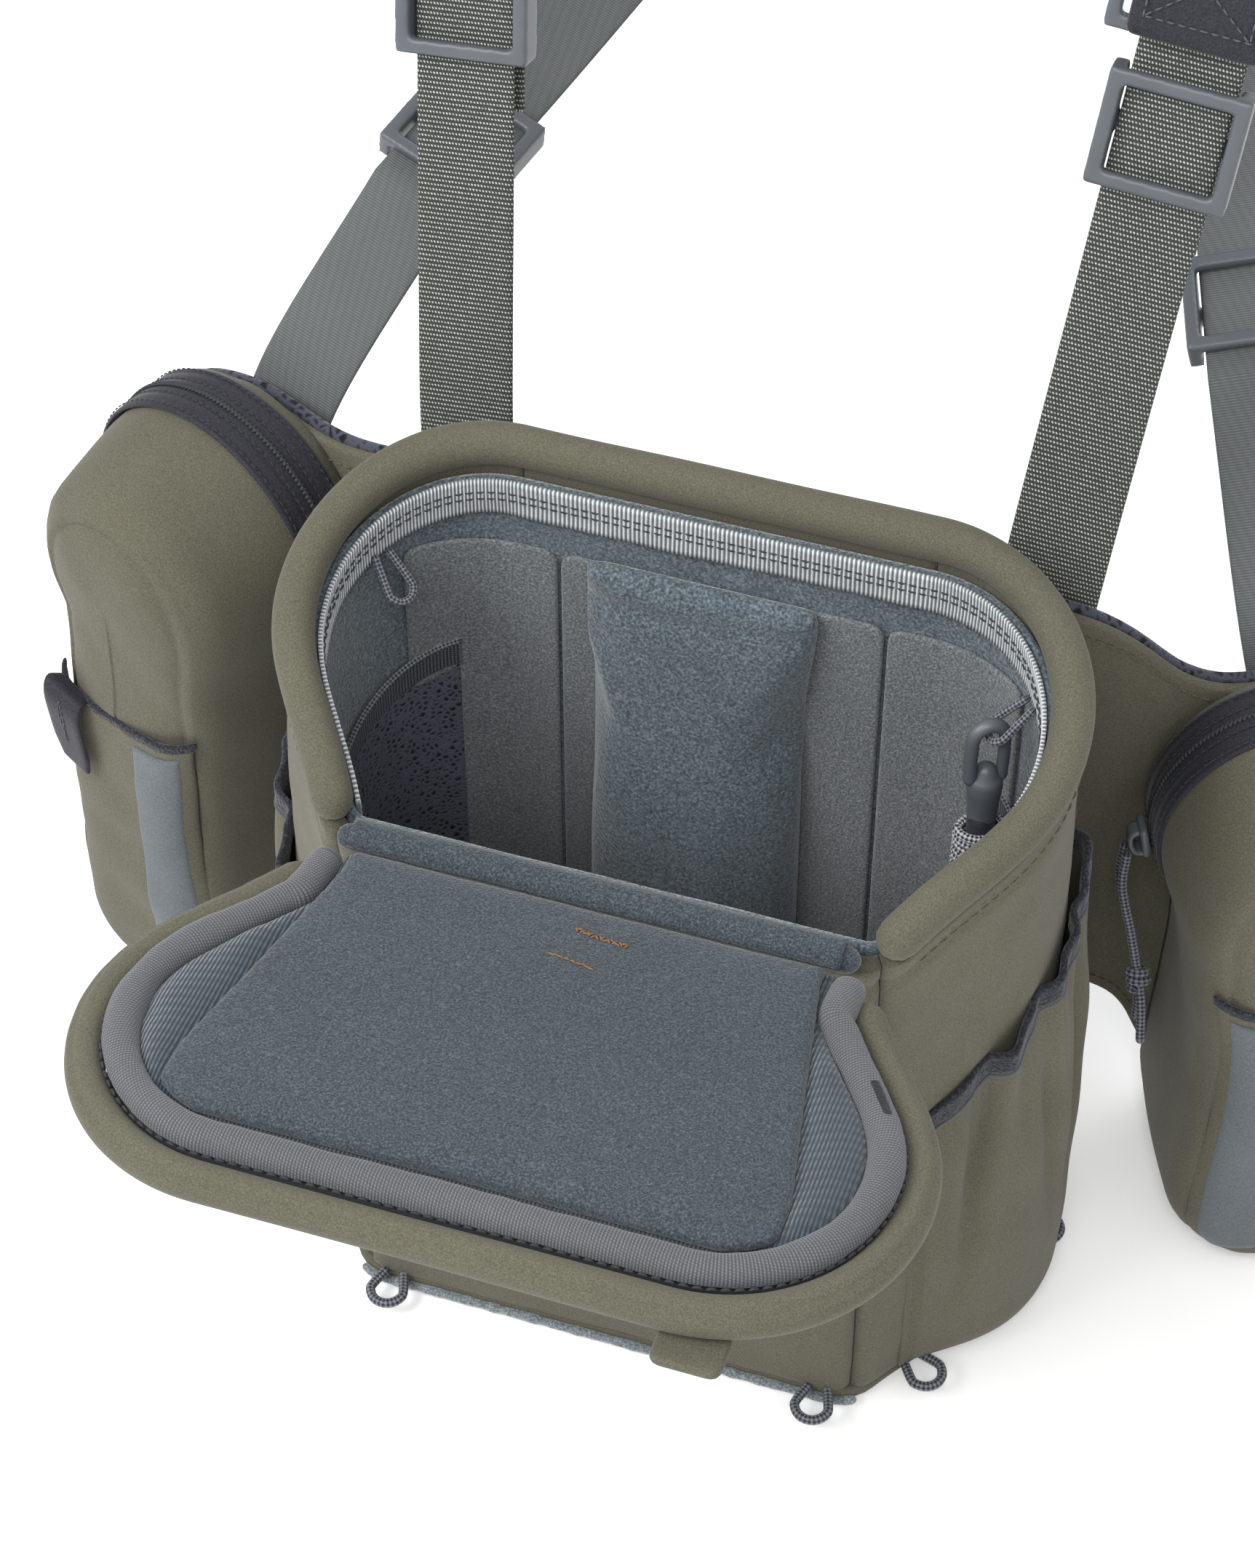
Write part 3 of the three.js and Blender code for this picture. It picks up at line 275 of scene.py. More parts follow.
spacer = Look("spacer_mesh", 0.85, 0.2, 0.2)
holes = spacer.cells(2.6, "DISTANCE_TO_EDGE")
spacer.colour(spacer.ramp(holes, (0.1, srgb(66, 68, 80)), (0.32, srgb(16, 17, 22))), 0.08)
spacer.bump(spacer.math("SUBTRACT", 1.0, holes), 1.0)

pocket_net = Look("pocket_net", 0.85, 0.1, 0.2)
net = pocket_net.cells(1.7, "DISTANCE_TO_EDGE")
pocket_net.colour(pocket_net.ramp(net, (0.12, srgb(78, 80, 92)), (0.34, srgb(14, 16, 22))))
pocket_net.bump(pocket_net.math("SUBTRACT", 1.0, net), 0.8)


def plastic(name, colour, roughness):
    look = Look(name, roughness, 0.0, 0.5)
    look.colour(look.ramp(look.noise(3, 2), (0.3, colour), (0.7, colour)), 0.05, 12)
    look.bump(look.noise(0.35, 2), 0.02, 0.6)
    return look


moulded = plastic("moulded_plastic", srgb(80, 84, 89), 0.42)
board_look = plastic("board", srgb(42, 43, 46), 0.7)


def thread(name, colour):
    look = Look(name, 0.7, 0.1, 0.3)
    lit = tuple(1.5 * c for c in colour[:3]) + (1,)
    look.colour(look.ramp(look.noise(0.5, 1), (0.3, colour), (0.8, lit)))
    look.bump(look.noise(0.3, 1), 0.05)
    return look


olive_thread = thread("olive_thread", srgb(78, 74, 56))
dark_thread = thread("dark_thread", srgb(38, 41, 46))
brown_thread = thread("brown_thread", srgb(112, 82, 50))
grey_thread = thread("grey_thread", srgb(66, 68, 74))


# ------------------------------------------------------------------ mesh helpers
def unit(v):
    v = np.asarray(v, float)
    return v / np.maximum(np.linalg.norm(v, axis=-1, keepdims=True), 1e-12)


def make(name, points, faces, body, look, uv=None, period=None, stands_for=(), slot=None):
    """A piece from points in millimetres, closed and facing outwards, that rides on a body."""
    mesh = bpy.data.meshes.new(name)
    mesh.from_pydata((np.asarray(points, float) * MM).tolist(), [], [list(map(int, f)) for f in faces])
    if uv is not None:
        corners = np.zeros(len(mesh.loops), np.int32)
        mesh.loops.foreach_get("vertex_index", corners)
        values = np.asarray(uv, float)[corners]
        if period:
            starts = [p.loop_start for p in mesh.polygons]
            ends = [p.loop_start + p.loop_total for p in mesh.polygons]
            for a, b in zip(starts, ends):
                v = values[a:b, 1]
                if v.max() - v.min() > period / 2:
                    v[v < period / 2] += period
        mesh.uv_layers.new(name="UVMap").data.foreach_set("uv", values.astype(np.float32).ravel())
    bm = bmesh.new()
    bm.from_mesh(mesh)
    bmesh.ops.remove_doubles(bm, verts=bm.verts, dist=1e-7)
    bmesh.ops.recalc_face_normals(bm, faces=bm.faces)
    bm.to_mesh(mesh)
    bm.free()
    mesh.polygons.foreach_set("use_smooth", [True] * len(mesh.polygons))
    mesh.materials.append(look.made)
    piece = bpy.data.objects.new(name, mesh)
    bpy.context.scene.collection.objects.link(piece)
    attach(piece, body)
    if stands_for:
        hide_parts(*stands_for)
    return piece


def strip_faces(rows, columns, closed=False):
    """Quads of a grid whose points run row by row; closed joins the last column to the first."""
    last = columns if closed else columns - 1
    i, j = np.meshgrid(np.arange(rows - 1), np.arange(last), indexing="ij")
    k = (j + 1) % columns
    quads = np.stack(
        [i * columns + j, (i + 1) * columns + j, (i + 1) * columns + k, i * columns + k], axis=-1
    )
    return quads.reshape(-1, 4).tolist()


def lengths(path):
    steps = np.linalg.norm(np.diff(path, axis=0), axis=1)
    return np.concatenate([[0], np.cumsum(steps)])


def resample(path, step=None, count=None):
    """The same line with evenly spaced points."""
    path = np.asarray(path, float)
    along = lengths(path)
    count = count or max(3, int(round(along[-1] / step)) + 1)
    at = np.linspace(0, along[-1], count)
    return np.stack([np.interp(at, along, path[:, k]) for k in range(path.shape[1])], axis=1)


def curve(points, step=2.0):
    """A smooth line through the points (Catmull-Rom), evenly spaced."""
    p = np.asarray(points, float)
    p = np.vstack([2 * p[0] - p[1], p, 2 * p[-1] - p[-2]])
    out = []
    for a, b, c, d in zip(p[:-3], p[1:-2], p[2:-1], p[3:]):
        for t in np.linspace(0, 1, 12, endpoint=False):
            out.append(
                0.5 * (2 * b + (c - a) * t + (2 * a - 5 * b + 4 * c - d) * t**2
                       + (3 * b - a - 3 * c + d) * t**3)
            )
    out.append(p[-2])
    return resample(np.array(out), step)


def directions(path):
    return unit(np.gradient(np.asarray(path, float), axis=0))


def frames(path, up=None):
    """Two directions across a line at each point: steady against "up", or carried along."""
    t = directions(path)
    if up is not None:
        across = unit(np.cross(t, np.broadcast_to(np.asarray(up, float), t.shape)))
        return across, np.cross(across, t)
    across = np.zeros_like(t)
    start = np.array([0, 0, 1.0]) if abs(t[0][2]) < 0.9 else np.array([1.0, 0, 0])
    across[0] = unit(np.cross(t[0], start))
    for i in range(1, len(t)):
        carried = across[i - 1] - t[i] * np.dot(across[i - 1], t[i])
        across[i] = unit(carried)
    return across, np.cross(across, t)


def ring(count=16):
    angles = np.arange(count) * TAU / count
    return np.stack([np.cos(angles), np.sin(angles)], axis=1)


def loft(name, path, section, body, look, up=None, basis=None, caps="round", v_scale=None, **more):
    """Sweeps a closed section, or one section for each point, along a line."""
    path = np.asarray(path, float)
    a, b = basis if basis is not None else frames(path, up)
    a = np.broadcast_to(a, path.shape)
    b = np.broadcast_to(b, path.shape)
    section = np.asarray(section, float)
    if section.ndim == 2:
        section = np.broadcast_to(section, (len(path),) + section.shape)
    columns = section.shape[1]
    rings = path[:, None] + a[:, None] * section[..., :1] + b[:, None] * section[..., 1:]
    along = lengths(path)
    if caps == "round":
        t = directions(path)
        for end, sign in ((0, -1), (-1, 1)):
            reach = np.abs(section[end][:, 1]).max()
            middle = path[end]
            extra = []
            for share in (0.35, 0.65, 0.88):
                shrink = math.cos(share * math.pi / 2)
                push = sign * t[end] * reach * math.sin(share * math.pi / 2)
                rim = rings[end] - middle
                flat = a[end] * (rim @ a[end])[:, None]
                rise = rim - flat
                half = np.abs(section[end][:, 0]).max()
                narrow = max(half - reach * (1 - shrink), 0.05) / max(half, 1e-6)
                extra.append(middle + flat * narrow + rise * shrink + push)
            extra = np.array(extra)
            if end == 0:
                rings = np.concatenate([extra[::-1], rings])
                along = np.concatenate([[along[0]] * 3, along])
            else:
                rings = np.concatenate([rings, extra])
                along = np.concatenate([along, [along[-1]] * 3])
    rows = len(rings)
    faces = strip_faces(rows, columns, True)
    faces.append(list(range(columns)))
    faces.append([(rows - 1) * columns + j for j in range(columns)])
    around = lengths(np.vstack([section[0], section[0][:1]]))
    v = around[:-1] * MM
    period = around[-1] * MM
    if v_scale:
        v = v / period * v_scale
        period = v_scale
    uv = np.stack(np.broadcast_arrays(along[:, None] * MM, v[None, :]), axis=-1).reshape(-1, 2)
    return make(name, rings.reshape(-1, 3), faces, body, look, uv, period, **more)


def cord(name, path, radius, body, look=None, **more):
    return loft(name, path, ring(14) * radius, body, look or cord_look, v_scale=1.0, **more)


def flat_section(width, thick, count=10, crown=0.0):
    """Outline of webbing: flat faces with rounded edges."""
    half, r = width / 2, thick / 2
    x = np.linspace(-half + r, half - r, count)
    rise = r + crown * (1 - (x / half) ** 2)
    edge = [(half - r + r * math.cos(q), r * math.sin(q)) for q in (math.pi / 4, 0, -math.pi / 4)]
    top = list(zip(x, rise))
    low = [(p, -q) for p, q in reversed(top)]
    return np.array(top + edge + low + [(-p, q) for p, q in reversed(edge)])


def slab(name, front, back, body, look, uv=None, closed=False, **more):
    """A closed sheet between two grids of the same size."""
    front, back = np.asarray(front), np.asarray(back)
    rows, columns = front.shape[:2]
    count = rows * columns
    top = strip_faces(rows, columns, closed)
    faces = top + [[v + count for v in reversed(f)] for f in top]
    last = columns if closed else columns - 1
    for j in range(last):
        k = (j + 1) % columns
        faces.append([j, k, k + count, j + count])
        end = (rows - 1) * columns
        faces.append([end + k, end + j, end + j + count, end + k + count])
    if not closed:
        for i in range(rows - 1):
            a, b = i * columns, (i + 1) * columns
            faces.append([b, a, a + count, b + count])
            a, b = a + columns - 1, b + columns - 1
            faces.append([a, b, b + count, a + count])
    points = np.concatenate([front.reshape(-1, 3), back.reshape(-1, 3)])
    if uv is not None:
        uv = np.concatenate([uv.reshape(-1, 2)] * 2)
    across = np.linalg.norm(np.diff(front, axis=1), axis=2).sum(axis=1).mean()
    upward = np.linalg.norm(np.diff(front, axis=0), axis=2).sum(axis=0).mean()
    return make(name, points, faces, body, look, uv, **more)


def rounded(corners, radius, step=3.0):
    """A closed outline with its corners rounded, evenly spaced."""
    c = np.asarray(corners, float)
    out = []
    for before, at, after in zip(np.roll(c, 1, 0), c, np.roll(c, -1, 0)):
        back, on = before - at, after - at
        near = at + unit(back) * min(radius, 0.45 * np.linalg.norm(back))
        far = at + unit(on) * min(radius, 0.45 * np.linalg.norm(on))
        for t in np.linspace(0, 1, 7):
            out.append((1 - t) ** 2 * near + 2 * t * (1 - t) * at + t**2 * far)
    out = np.vstack([out, out[:1]])
    return resample(out, step)[:-1]


def pillow(name, outline, low, high, edge, body, look, place, crown=0.0, relief=None, under=0.0, **more):
    """A soft flat piece on a closed outline, with rounded edges and a crowned face.

    place maps points (x, y, height) to the pack's frame; relief adds to the upper face's height.
    """
    outline = np.asarray(outline, float)
    ahead = np.roll(outline, -1, 0) - np.roll(outline, 1, 0)
    out = unit(np.stack([ahead[:, 1], -ahead[:, 0]], axis=1))
    following = np.roll(outline, -1, 0)
    area = np.sum(outline[:, 0] * following[:, 1] - following[:, 0] * outline[:, 1])
    out *= 1 if area > 0 else -1
    middle = outline.mean(axis=0)
    span = np.linalg.norm(outline - middle, axis=1).mean()
    inner = outline - out * edge
    half = (high - low) / 2

    def face(sign, bulge):
        rows = []
        for q in np.linspace(0, math.pi / 2, 5):
            p = outline - out * edge * (1 - math.cos(q))
            height = (high + low) / 2 + sign * half * math.sin(q)
            rows.append(np.column_stack([p, np.full(len(p), height)]))
        for t in np.linspace(0, 1, max(6, int(span / 4)))[1:-1]:
            p = inner + (middle - inner) * t
            height = (high + low) / 2 + sign * (half + bulge * (1 - (1 - t) ** 3))
            rows.append(np.column_stack([p, np.full(len(p), height)]))
        return rows

    upper, lower = face(1, crown), face(-1, under)
    rows = lower[::-1] + upper[1:]
    count = len(outline)
    points = np.concatenate(rows)
    level = (high + low) / 2
    centre = np.array([[*middle, level - half - under], [*middle, level + half + crown]])
    if relief is not None:
        first = len(lower) * count
        points[first:, 2] += relief(points[first:, 0], points[first:, 1])
        centre[1, 2] += relief(centre[1:, 0], centre[1:, 1])[0]
    faces = strip_faces(len(rows), count, True)
    total = len(rows) * count
    for j in range(count):
        faces.append([j, (j + 1) % count, total])
        end = (len(rows) - 1) * count
        faces.append([end + (j + 1) % count, end + j, total + 1])
    points = np.vstack([points, centre])
    uv = points[:, :2] * MM
    return make(name, place(points), faces, body, look, uv, **more)


def ripple(points, size, seed, count=7):
    """Smooth, repeatable bumps from -1 to 1, about "size" mm across."""
    rng = np.random.default_rng(seed)
    total = 0
    for _ in range(count):
        way = unit(rng.normal(size=3)) * TAU / (size * rng.uniform(0.7, 1.6))
        total = total + np.sin(np.asarray(points) @ way + rng.uniform(0, TAU))
    return total / count * 1.6


def stitches(name, path, out, body, look, pitch=3.0, long=2.1, radius=0.3, **more):
    """A row of thread stitches along a line; "out" is the surface's direction."""
    path = np.asarray(path, float)
    along = lengths(path)
    at = np.arange(pitch / 2, along[-1], pitch)
    centre = np.stack([np.interp(at, along, path[:, k]) for k in range(3)], axis=1)
    t = directions(path)
    t = unit(np.stack([np.interp(at, along, t[:, k]) for k in range(3)], axis=1))
    out = np.broadcast_to(np.asarray(out, float), path.shape)
    out = unit(np.stack([np.interp(at, along, out[:, k]) for k in range(3)], axis=1))
    side = unit(np.cross(t, out))
    shape = []
    profile = ((-1, 0.35, -0.4), (-0.6, 1, 0.35), (0, 1.1, 0.6), (0.6, 1, 0.35), (1, 0.35, -0.4))
    for share, size, lift in profile:
        for x, y in ring(6):
            shape.append((share * long / 2, x * size * radius, y * size * radius + lift * radius))
    shape = np.array(shape)
    points = (
        centre[:, None] + t[:, None] * shape[None, :, :1] + side[:, None] * shape[None, :, 1:2]
        + out[:, None] * shape[None, :, 2:]
    )
    one = strip_faces(5, 6, True) + [[5, 4, 3, 2, 1, 0], [24, 25, 26, 27, 28, 29]]
    faces = [[v + 30 * i for v in f] for i in range(len(at)) for f in one]
    return make(name, points.reshape(-1, 3), faces, body, look, **more)


def puff(piece, pressure=4.0, voxel=5.0, cap=6.0, frames_run=20):
    """Inflates a closed piece with Cloth, caps how far it moves and keeps the result."""
    scene = bpy.context.scene
    body = piece["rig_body"]
    depsgraph = bpy.context.evaluated_depsgraph_get
    remesh = piece.modifiers.new("voxels", "REMESH")
    remesh.mode = "VOXEL"
    remesh.voxel_size = voxel * MM
    plain = bpy.data.meshes.new_from_object(piece.evaluated_get(depsgraph()))
    piece.modifiers.clear()
    old = piece.data
    materials = list(old.materials)
    piece.data = plain
    cloth = piece.modifiers.new("air", "CLOTH")
    cloth.settings.use_pressure = True
    cloth.settings.uniform_pressure_force = pressure
    cloth.settings.effector_weights.gravity = 0
    cloth.settings.quality = 6
    cloth.point_cache.frame_start = 1
    cloth.point_cache.frame_end = frames_run
    for at in range(1, frames_run + 1):
        scene.frame_set(at)
    moved = bpy.data.meshes.new_from_object(piece.evaluated_get(depsgraph()))
    piece.modifiers.clear()
    rest = np.array([v.co for v in plain.vertices], float)
    now = np.array([v.co for v in moved.vertices], float)
    step = now - rest
    step -= step.mean(axis=0)
    far = np.linalg.norm(step, axis=1, keepdims=True)
    now = rest + step * np.minimum(1, cap * MM / np.maximum(far, 1e-9))
    plain.vertices.foreach_set("co", now.astype(np.float32).ravel())
    plain.materials.clear()
    for made in materials:
        plain.materials.append(made)
    plain.polygons.foreach_set("use_smooth", [True] * len(plain.polygons))
    plain.update()
    bpy.data.meshes.remove(moved)
    bpy.data.meshes.remove(old)
    scene.frame_set(1)
    piece["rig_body"] = body
    finer = piece.modifiers.new("finer", "SUBSURF")
    finer.levels = finer.render_levels = 1
    return piece


def press(piece, amount):
    """Moves a piece's points, in millimetres, by amount(points)."""
    points = np.array([v.co for v in piece.data.vertices], float) / MM
    points = points + amount(points)
    piece.data.vertices.foreach_set("co", (points * MM).astype(np.float32).ravel())
    piece.data.update()


def groove(distance, depth, width):
    """A rounded dip along a line; distance is measured from the line."""
    return -depth * np.exp(-((distance / width) ** 2))


# ------------------------------------------------------------------ the pouch's wall line
def bezier(a, b, c, d, count):
    a, b, c, d = map(np.array, (a, b, c, d))
    t = np.linspace(0, 1, count)[:, None]
    return (1 - t) ** 3 * a + 3 * t * (1 - t) ** 2 * b + 3 * t**2 * (1 - t) * c + t**3 * d


def wall_line():
    """Half of the outer wall from above, with its length share at each change of curve."""
    cx, cy = FRONT_HALF - FRONT_RADIUS, FRONT_Y + FRONT_RADIUS
    flare, pull = math.radians(30), 22
    front = np.array([(x, FRONT_Y) for x in np.linspace(0, cx, 40)])
    a = np.linspace(-math.pi / 2, -flare, 30)
    corner = np.stack([cx + FRONT_RADIUS * np.cos(a), cy + FRONT_RADIUS * np.sin(a)], axis=1)
    p0 = corner[-1]
    p1 = p0 + pull * np.array([math.sin(flare), math.cos(flare)])
    widest = BACK_Y - BACK_RADIUS
    p2, p3 = np.array([HALF_WIDTH, widest - pull]), np.array([HALF_WIDTH, widest])
    side = bezier(p0, p1, p2, p3, 80)
    a = np.linspace(0, math.pi / 2, 60)
    bx = HALF_WIDTH - BACK_RADIUS
    back_corner = np.stack([bx + BACK_RADIUS * np.cos(a), widest + BACK_RADIUS * np.sin(a)], axis=1)
    back = np.array([(x, BACK_Y) for x in np.linspace(bx, 0, 40)])
    parts = [front, corner[1:], side[1:], back_corner[1:], back[1:]]
    line = np.vstack(parts)
    ends = np.cumsum([len(p) for p in parts]) - 1
    along = lengths(line)
    return line, along, along[ends] / along[-1]


LINE, ALONG, (END_FRONT, SIDE_START, WIDEST, BACK_SEAM, _) = wall_line()
WALL_LENGTH = ALONG[-1]
FRONT_SEAM = (END_FRONT + SIDE_START) / 2
WAYS = directions(LINE)


def wall(s, offset=0.0):
    """Points on the wall: s runs 0 to 1 from front to back on the right, below 0 on the left."""
    s = np.asarray(s, float)
    at = np.minimum(np.abs(s), 1) * WALL_LENGTH
    x, y = np.interp(at, ALONG, LINE[:, 0]), np.interp(at, ALONG, LINE[:, 1])
    t = unit(np.stack([np.interp(at, ALONG, WAYS[:, 0]), np.interp(at, ALONG, WAYS[:, 1])], axis=-1))
    x = x + t[..., 1] * offset
    y = y - t[..., 0] * offset
    return np.where(s < 0, -x, x), y


def rim_z(y):
    return FRONT_HEIGHT + (y - FRONT_Y) * math.tan(SLOPE)


def round_back(start, count):
    """s values from the right front, round the back, to the left front."""
    right = np.linspace(start, 1, count)
    return np.concatenate([right, -right[::-1][1:]])


def wall_path(s, offset, z=0.0):
    x, y = wall(s, offset)
    height = z(x, y) if callable(z) else np.full_like(x, z)
    return np.stack([x, y, height], axis=-1)


def wall_out(s):
    """The wall's outward direction at each place."""
    return unit(wall_path(s, 1.0) - wall_path(s, 0.0))


# ------------------------------------------------------------------ camera, light, floor
def stand_camera():
    azimuth, elevation = math.radians(18.16), math.radians(47.58)
    back = Vector(
        (
            math.sin(azimuth) * math.cos(elevation),
            -math.cos(azimuth) * math.cos(elevation),
            math.sin(elevation),
        )
    )
    data = bpy.data.cameras.new("camera")
    data.lens = 90
    data.sensor_width = 36
    camera = bpy.data.objects.new("camera", data)
    camera.location = Vector((-10.5, 0, 163.9)) * MM + back * 0.9693
    camera.rotation_euler = (-back).to_track_quat("-Z", "Y").to_euler()
    bpy.context.scene.collection.objects.link(camera)
    bpy.context.scene.camera = camera


def area_light(name, place, aim, size, power):
    data = bpy.data.lights.new(name, "AREA")
    data.size = size
    data.energy = power
    light = bpy.data.objects.new(name, data)
    light.location = place
    light.rotation_euler = (Vector(aim) - Vector(place)).to_track_quat("-Z", "Y").to_euler()
    bpy.context.scene.collection.objects.link(light)


def light_studio():
    area_light("key", (-0.9, -0.8, 1.4), (0, 0, 0.1), 1.0, 27)
    area_light("front", (0.15, -0.75, 1.15), (0, 0, 0.12), 0.5, 7)
    area_light("fill", (1.3, -0.7, 1.0), (0, 0, 0.1), 1.4, 3)
    area_light("back", (0.3, 1.4, 1.3), (0, 0.1, 0.1), 1.2, 13)
    world = bpy.data.worlds.new("studio")
    world.use_nodes = True
    background = world.node_tree.nodes["Background"]
    background.inputs["Color"].default_value = (1, 1, 1, 1)
    background.inputs["Strength"].default_value = 0.68
    bpy.context.scene.world = world
    bpy.context.scene.view_settings.view_transform = "Standard"
    mesh = bpy.data.meshes.new("floor")
    half = 6
    low = -0.0005
    corners = [(-half, -half, low), (half, -half, low), (half, half, low), (-half, half, low)]
    mesh.from_pydata(corners, [], [(0, 1, 2, 3)])
    floor = bpy.data.objects.new("floor", mesh)
    pale = Look("pale_floor", 0.9, 0.0, 0.1)
    pale.colour(pale.ramp(pale.noise(300, 1), (0.2, (0.93, 0.93, 0.93, 1)), (0.8, (0.95, 0.95, 0.95, 1))))
    pale.shader.inputs["Emission Color"].default_value = (1, 1, 1, 1)
    pale.shader.inputs["Emission Strength"].default_value = 0.2
    mesh.materials.append(pale.made)
    bpy.context.scene.collection.objects.link(floor)


stand_camera()
light_studio()

# ------------------------------------------------------------------ cords, first
ANCHOR_S = WIDEST + (BACK_SEAM - WIDEST) * 0.36
ANCHOR_DROP, ANCHOR_HALF, ANCHOR_CORD = 13, 3.5, 1.0


def anchor_frame():
    """Root, direction and spread of the right anchor loop, as in the CAD."""
    x, y = wall(ANCHOR_S, LINER_FACE - GAP - ANCHOR_CORD - 1.1)
    z = rim_z(y) - (WALL_DROP + TAPE_DEEP) / math.cos(SLOPE) - 4 + 5
    inward = -wall_out(np.array([ANCHOR_S]))[0]
    out = unit(np.array([inward[0] * 0.75, inward[1] * 0.75, -0.7]))
    return np.array([x, y, z]), out, inward


def loop_path(root, out, across, half, reach):
    """A cord loop that leaves its root along out and spreads along across."""
    angles = np.radians(np.linspace(-90, 90, 9))
    bow = [
        root + out * (reach - half + half * math.cos(a)) + across * half * math.sin(a) for a in angles
    ]
    ends = [root - across * half * 0.6, root + across * half * 0.6]
    return curve([ends[0], *bow, ends[1]], 0.8)


def declare_cord(path):
    """Works out a cord's length in metres from its path in millimetres; the result is not kept."""
    lengths(path)[-1] * MM


def flip(point, sign):
    """The same point on the left when sign is -1."""
    return np.asarray(point, float) * np.array([sign, 1, 1])


anchor_root, anchor_out, inward = anchor_frame()
for side, sign in SIDES:
    across = flip((-inward[1], inward[0], 0), sign)
    path = loop_path(flip(anchor_root, sign), flip(anchor_out, sign), across, ANCHOR_HALF, ANCHOR_DROP)
    piece = cord(
        "anchor_cord_" + side, path, ANCHOR_CORD, "pack", stands_for=["anchor_loop_" + side], slot="cord"
    )
    declare_cord(path)

LASH_PLACES = (("front", FRONT_SEAM - 0.035), ("side", SIDE_START + 0.05), ("rear", WIDEST + 0.04))
for side, sign in SIDES:
    for place, s in LASH_PLACES:
        foot = wall_path(np.array([s * sign]), 2 * GAP)[0]
        out = wall_out(np.array([s * sign]))[0]
        across = np.array([-out[1], out[0], 0])
        foot[2] = 5 if place == "front" else 6 - 1.3 - GAP
        name = f"{place}_{side}"
        path = loop_path(foot, out, across, 4.5, 10)
        cord("lash_cord_" + name, path, 1.3, "pack", stands_for=["lash_loop_" + name], slot="cord")

# ------------------------------------------------------------------ tether
PIVOT = anchor_root + anchor_out * ANCHOR_DROP
TETHER_TURN = math.atan2(inward[1], inward[0])


def tether_place(points):
    p = np.asarray(points, float)
    c, s = math.cos(TETHER_TURN), math.sin(TETHER_TURN)
    x = p[..., 0] * c - p[..., 1] * s
    y = p[..., 0] * s + p[..., 1] * c
    return np.stack([x, y, p[..., 2]], axis=-1) + PIVOT


EYE_TOP = ANCHOR_CORD + GAP + 4.4
eye = [(-4.1, 0, -14), (-4.2, 0, -4), (-3.6, 0, EYE_TOP - 4), (0, 0, EYE_TOP - 1.6)]
eye += [(3.6, 0, EYE_TOP - 4), (4.2, 0, -4), (4.1, 0, -14)]
eye_path = tether_place(curve(eye, 0.7))
loft(
    "hook_eye", eye_path, ring(14) * np.array([1.9, 1.55]), "tether", moulded,
    stands_for=["tether_hook"], slot="plastic",
)
barrel = np.array([(0, 0, z) for z in np.linspace(-12.5, -28.8, 18)])
size = np.interp(np.arange(18), [0, 1.5, 5, 12, 16, 17], [3.0, 4.4, 4.5, 3.9, 3.7, 3.2])
loft(
    "hook_barrel", tether_place(barrel), ring(18)[None] * size[:, None, None], "tether", moulded,
    slot="plastic",
)
HANK_TURNS, HANK_CORD, HANK_LOW, HANK_HIGH = 15, 2.4, -68.5, -31.5
hank = []
for i in range(HANK_TURNS * 16 + 1):
    turn = TAU * i / 16
    height = HANK_HIGH + (HANK_LOW - HANK_HIGH) * i / (HANK_TURNS * 16)
    wobble = 0.35 * math.sin(0.37 * i)
    hank.append((6.1 * math.cos(turn) + wobble, 5.1 * math.sin(turn), height + 0.4 * math.sin(turn)))
hank_path = tether_place(np.array(hank))
hank_piece = cord(
    "tether_cord", hank_path, HANK_CORD / 2, "tether", fleck_cord, stands_for=["tether_hank"], slot="cord"
)
declare_cord(hank_path)
core = tether_place(np.array([(0, 0, z) for z in np.linspace(HANK_HIGH + 3, HANK_LOW + 1, 12)]))
loft("tether_core", core, ring(12) * np.array([4.6, 3.6]), "tether", dark_nylon, slot="cord")

# ------------------------------------------------------------------ main pouch
MAIN_WRINKLE = 0.5


def wall_panel(name, s0, s1, stands_for):
    """A foam-backed panel whose edges turn in at its seams."""
    columns = max(24, int(abs(s1 - s0) * WALL_LENGTH / 2.2))
    s = np.linspace(s0, s1, columns)
    from_edge = np.minimum(np.abs(s - s0), np.abs(s - s1)) * WALL_LENGTH
    seam = groove(from_edge, 2.0, 1.8) + groove(from_edge - 5.5, 0.25, 0.9)
    swell = 1.0 * np.sin(np.pi * np.linspace(0, 1, columns)) ** 0.5
    rows = np.linspace(0, 1, 84)
    front, back, uv = [], [], []
    for share in rows:
        path = wall_path(s, 0)
        top = rim_z(path[:, 1]) - WALL_DROP + 1.5
        z = 1.2 + (top - 1.2) * share
        below = top - z
        offset = seam + swell * math.sin(math.pi * min(1, share * 1.1)) + 0.2
        offset = offset + groove(below - 6.5, 0.9, 1.1) + groove(z - 1.2, 2.2, 3.0)
        place = np.column_stack([path[:, :2], z])
        offset = offset + MAIN_WRINKLE * ripple(place, 55, 3) + 0.25 * ripple(place, 18, 4)
        way = wall_out(s)
        front.append(place + way * offset[:, None])
        back.append(place - way * 5.2)
        uv.append(np.column_stack([s * WALL_LENGTH, z]) * MM)
    return slab(
        name, front, back, "pack", softshell, np.array(uv),
        stands_for=stands_for, slot="softshell",
    )


thin = 0.25 / WALL_LENGTH
wall_panel("shell_front", -FRONT_SEAM + thin, FRONT_SEAM - thin, ["front_panel"])
for side, sign in SIDES:
    first, last = sign * (FRONT_SEAM + thin), sign * (BACK_SEAM - thin)
    wall_panel("shell_" + side, first, last, ["side_panel_" + side])


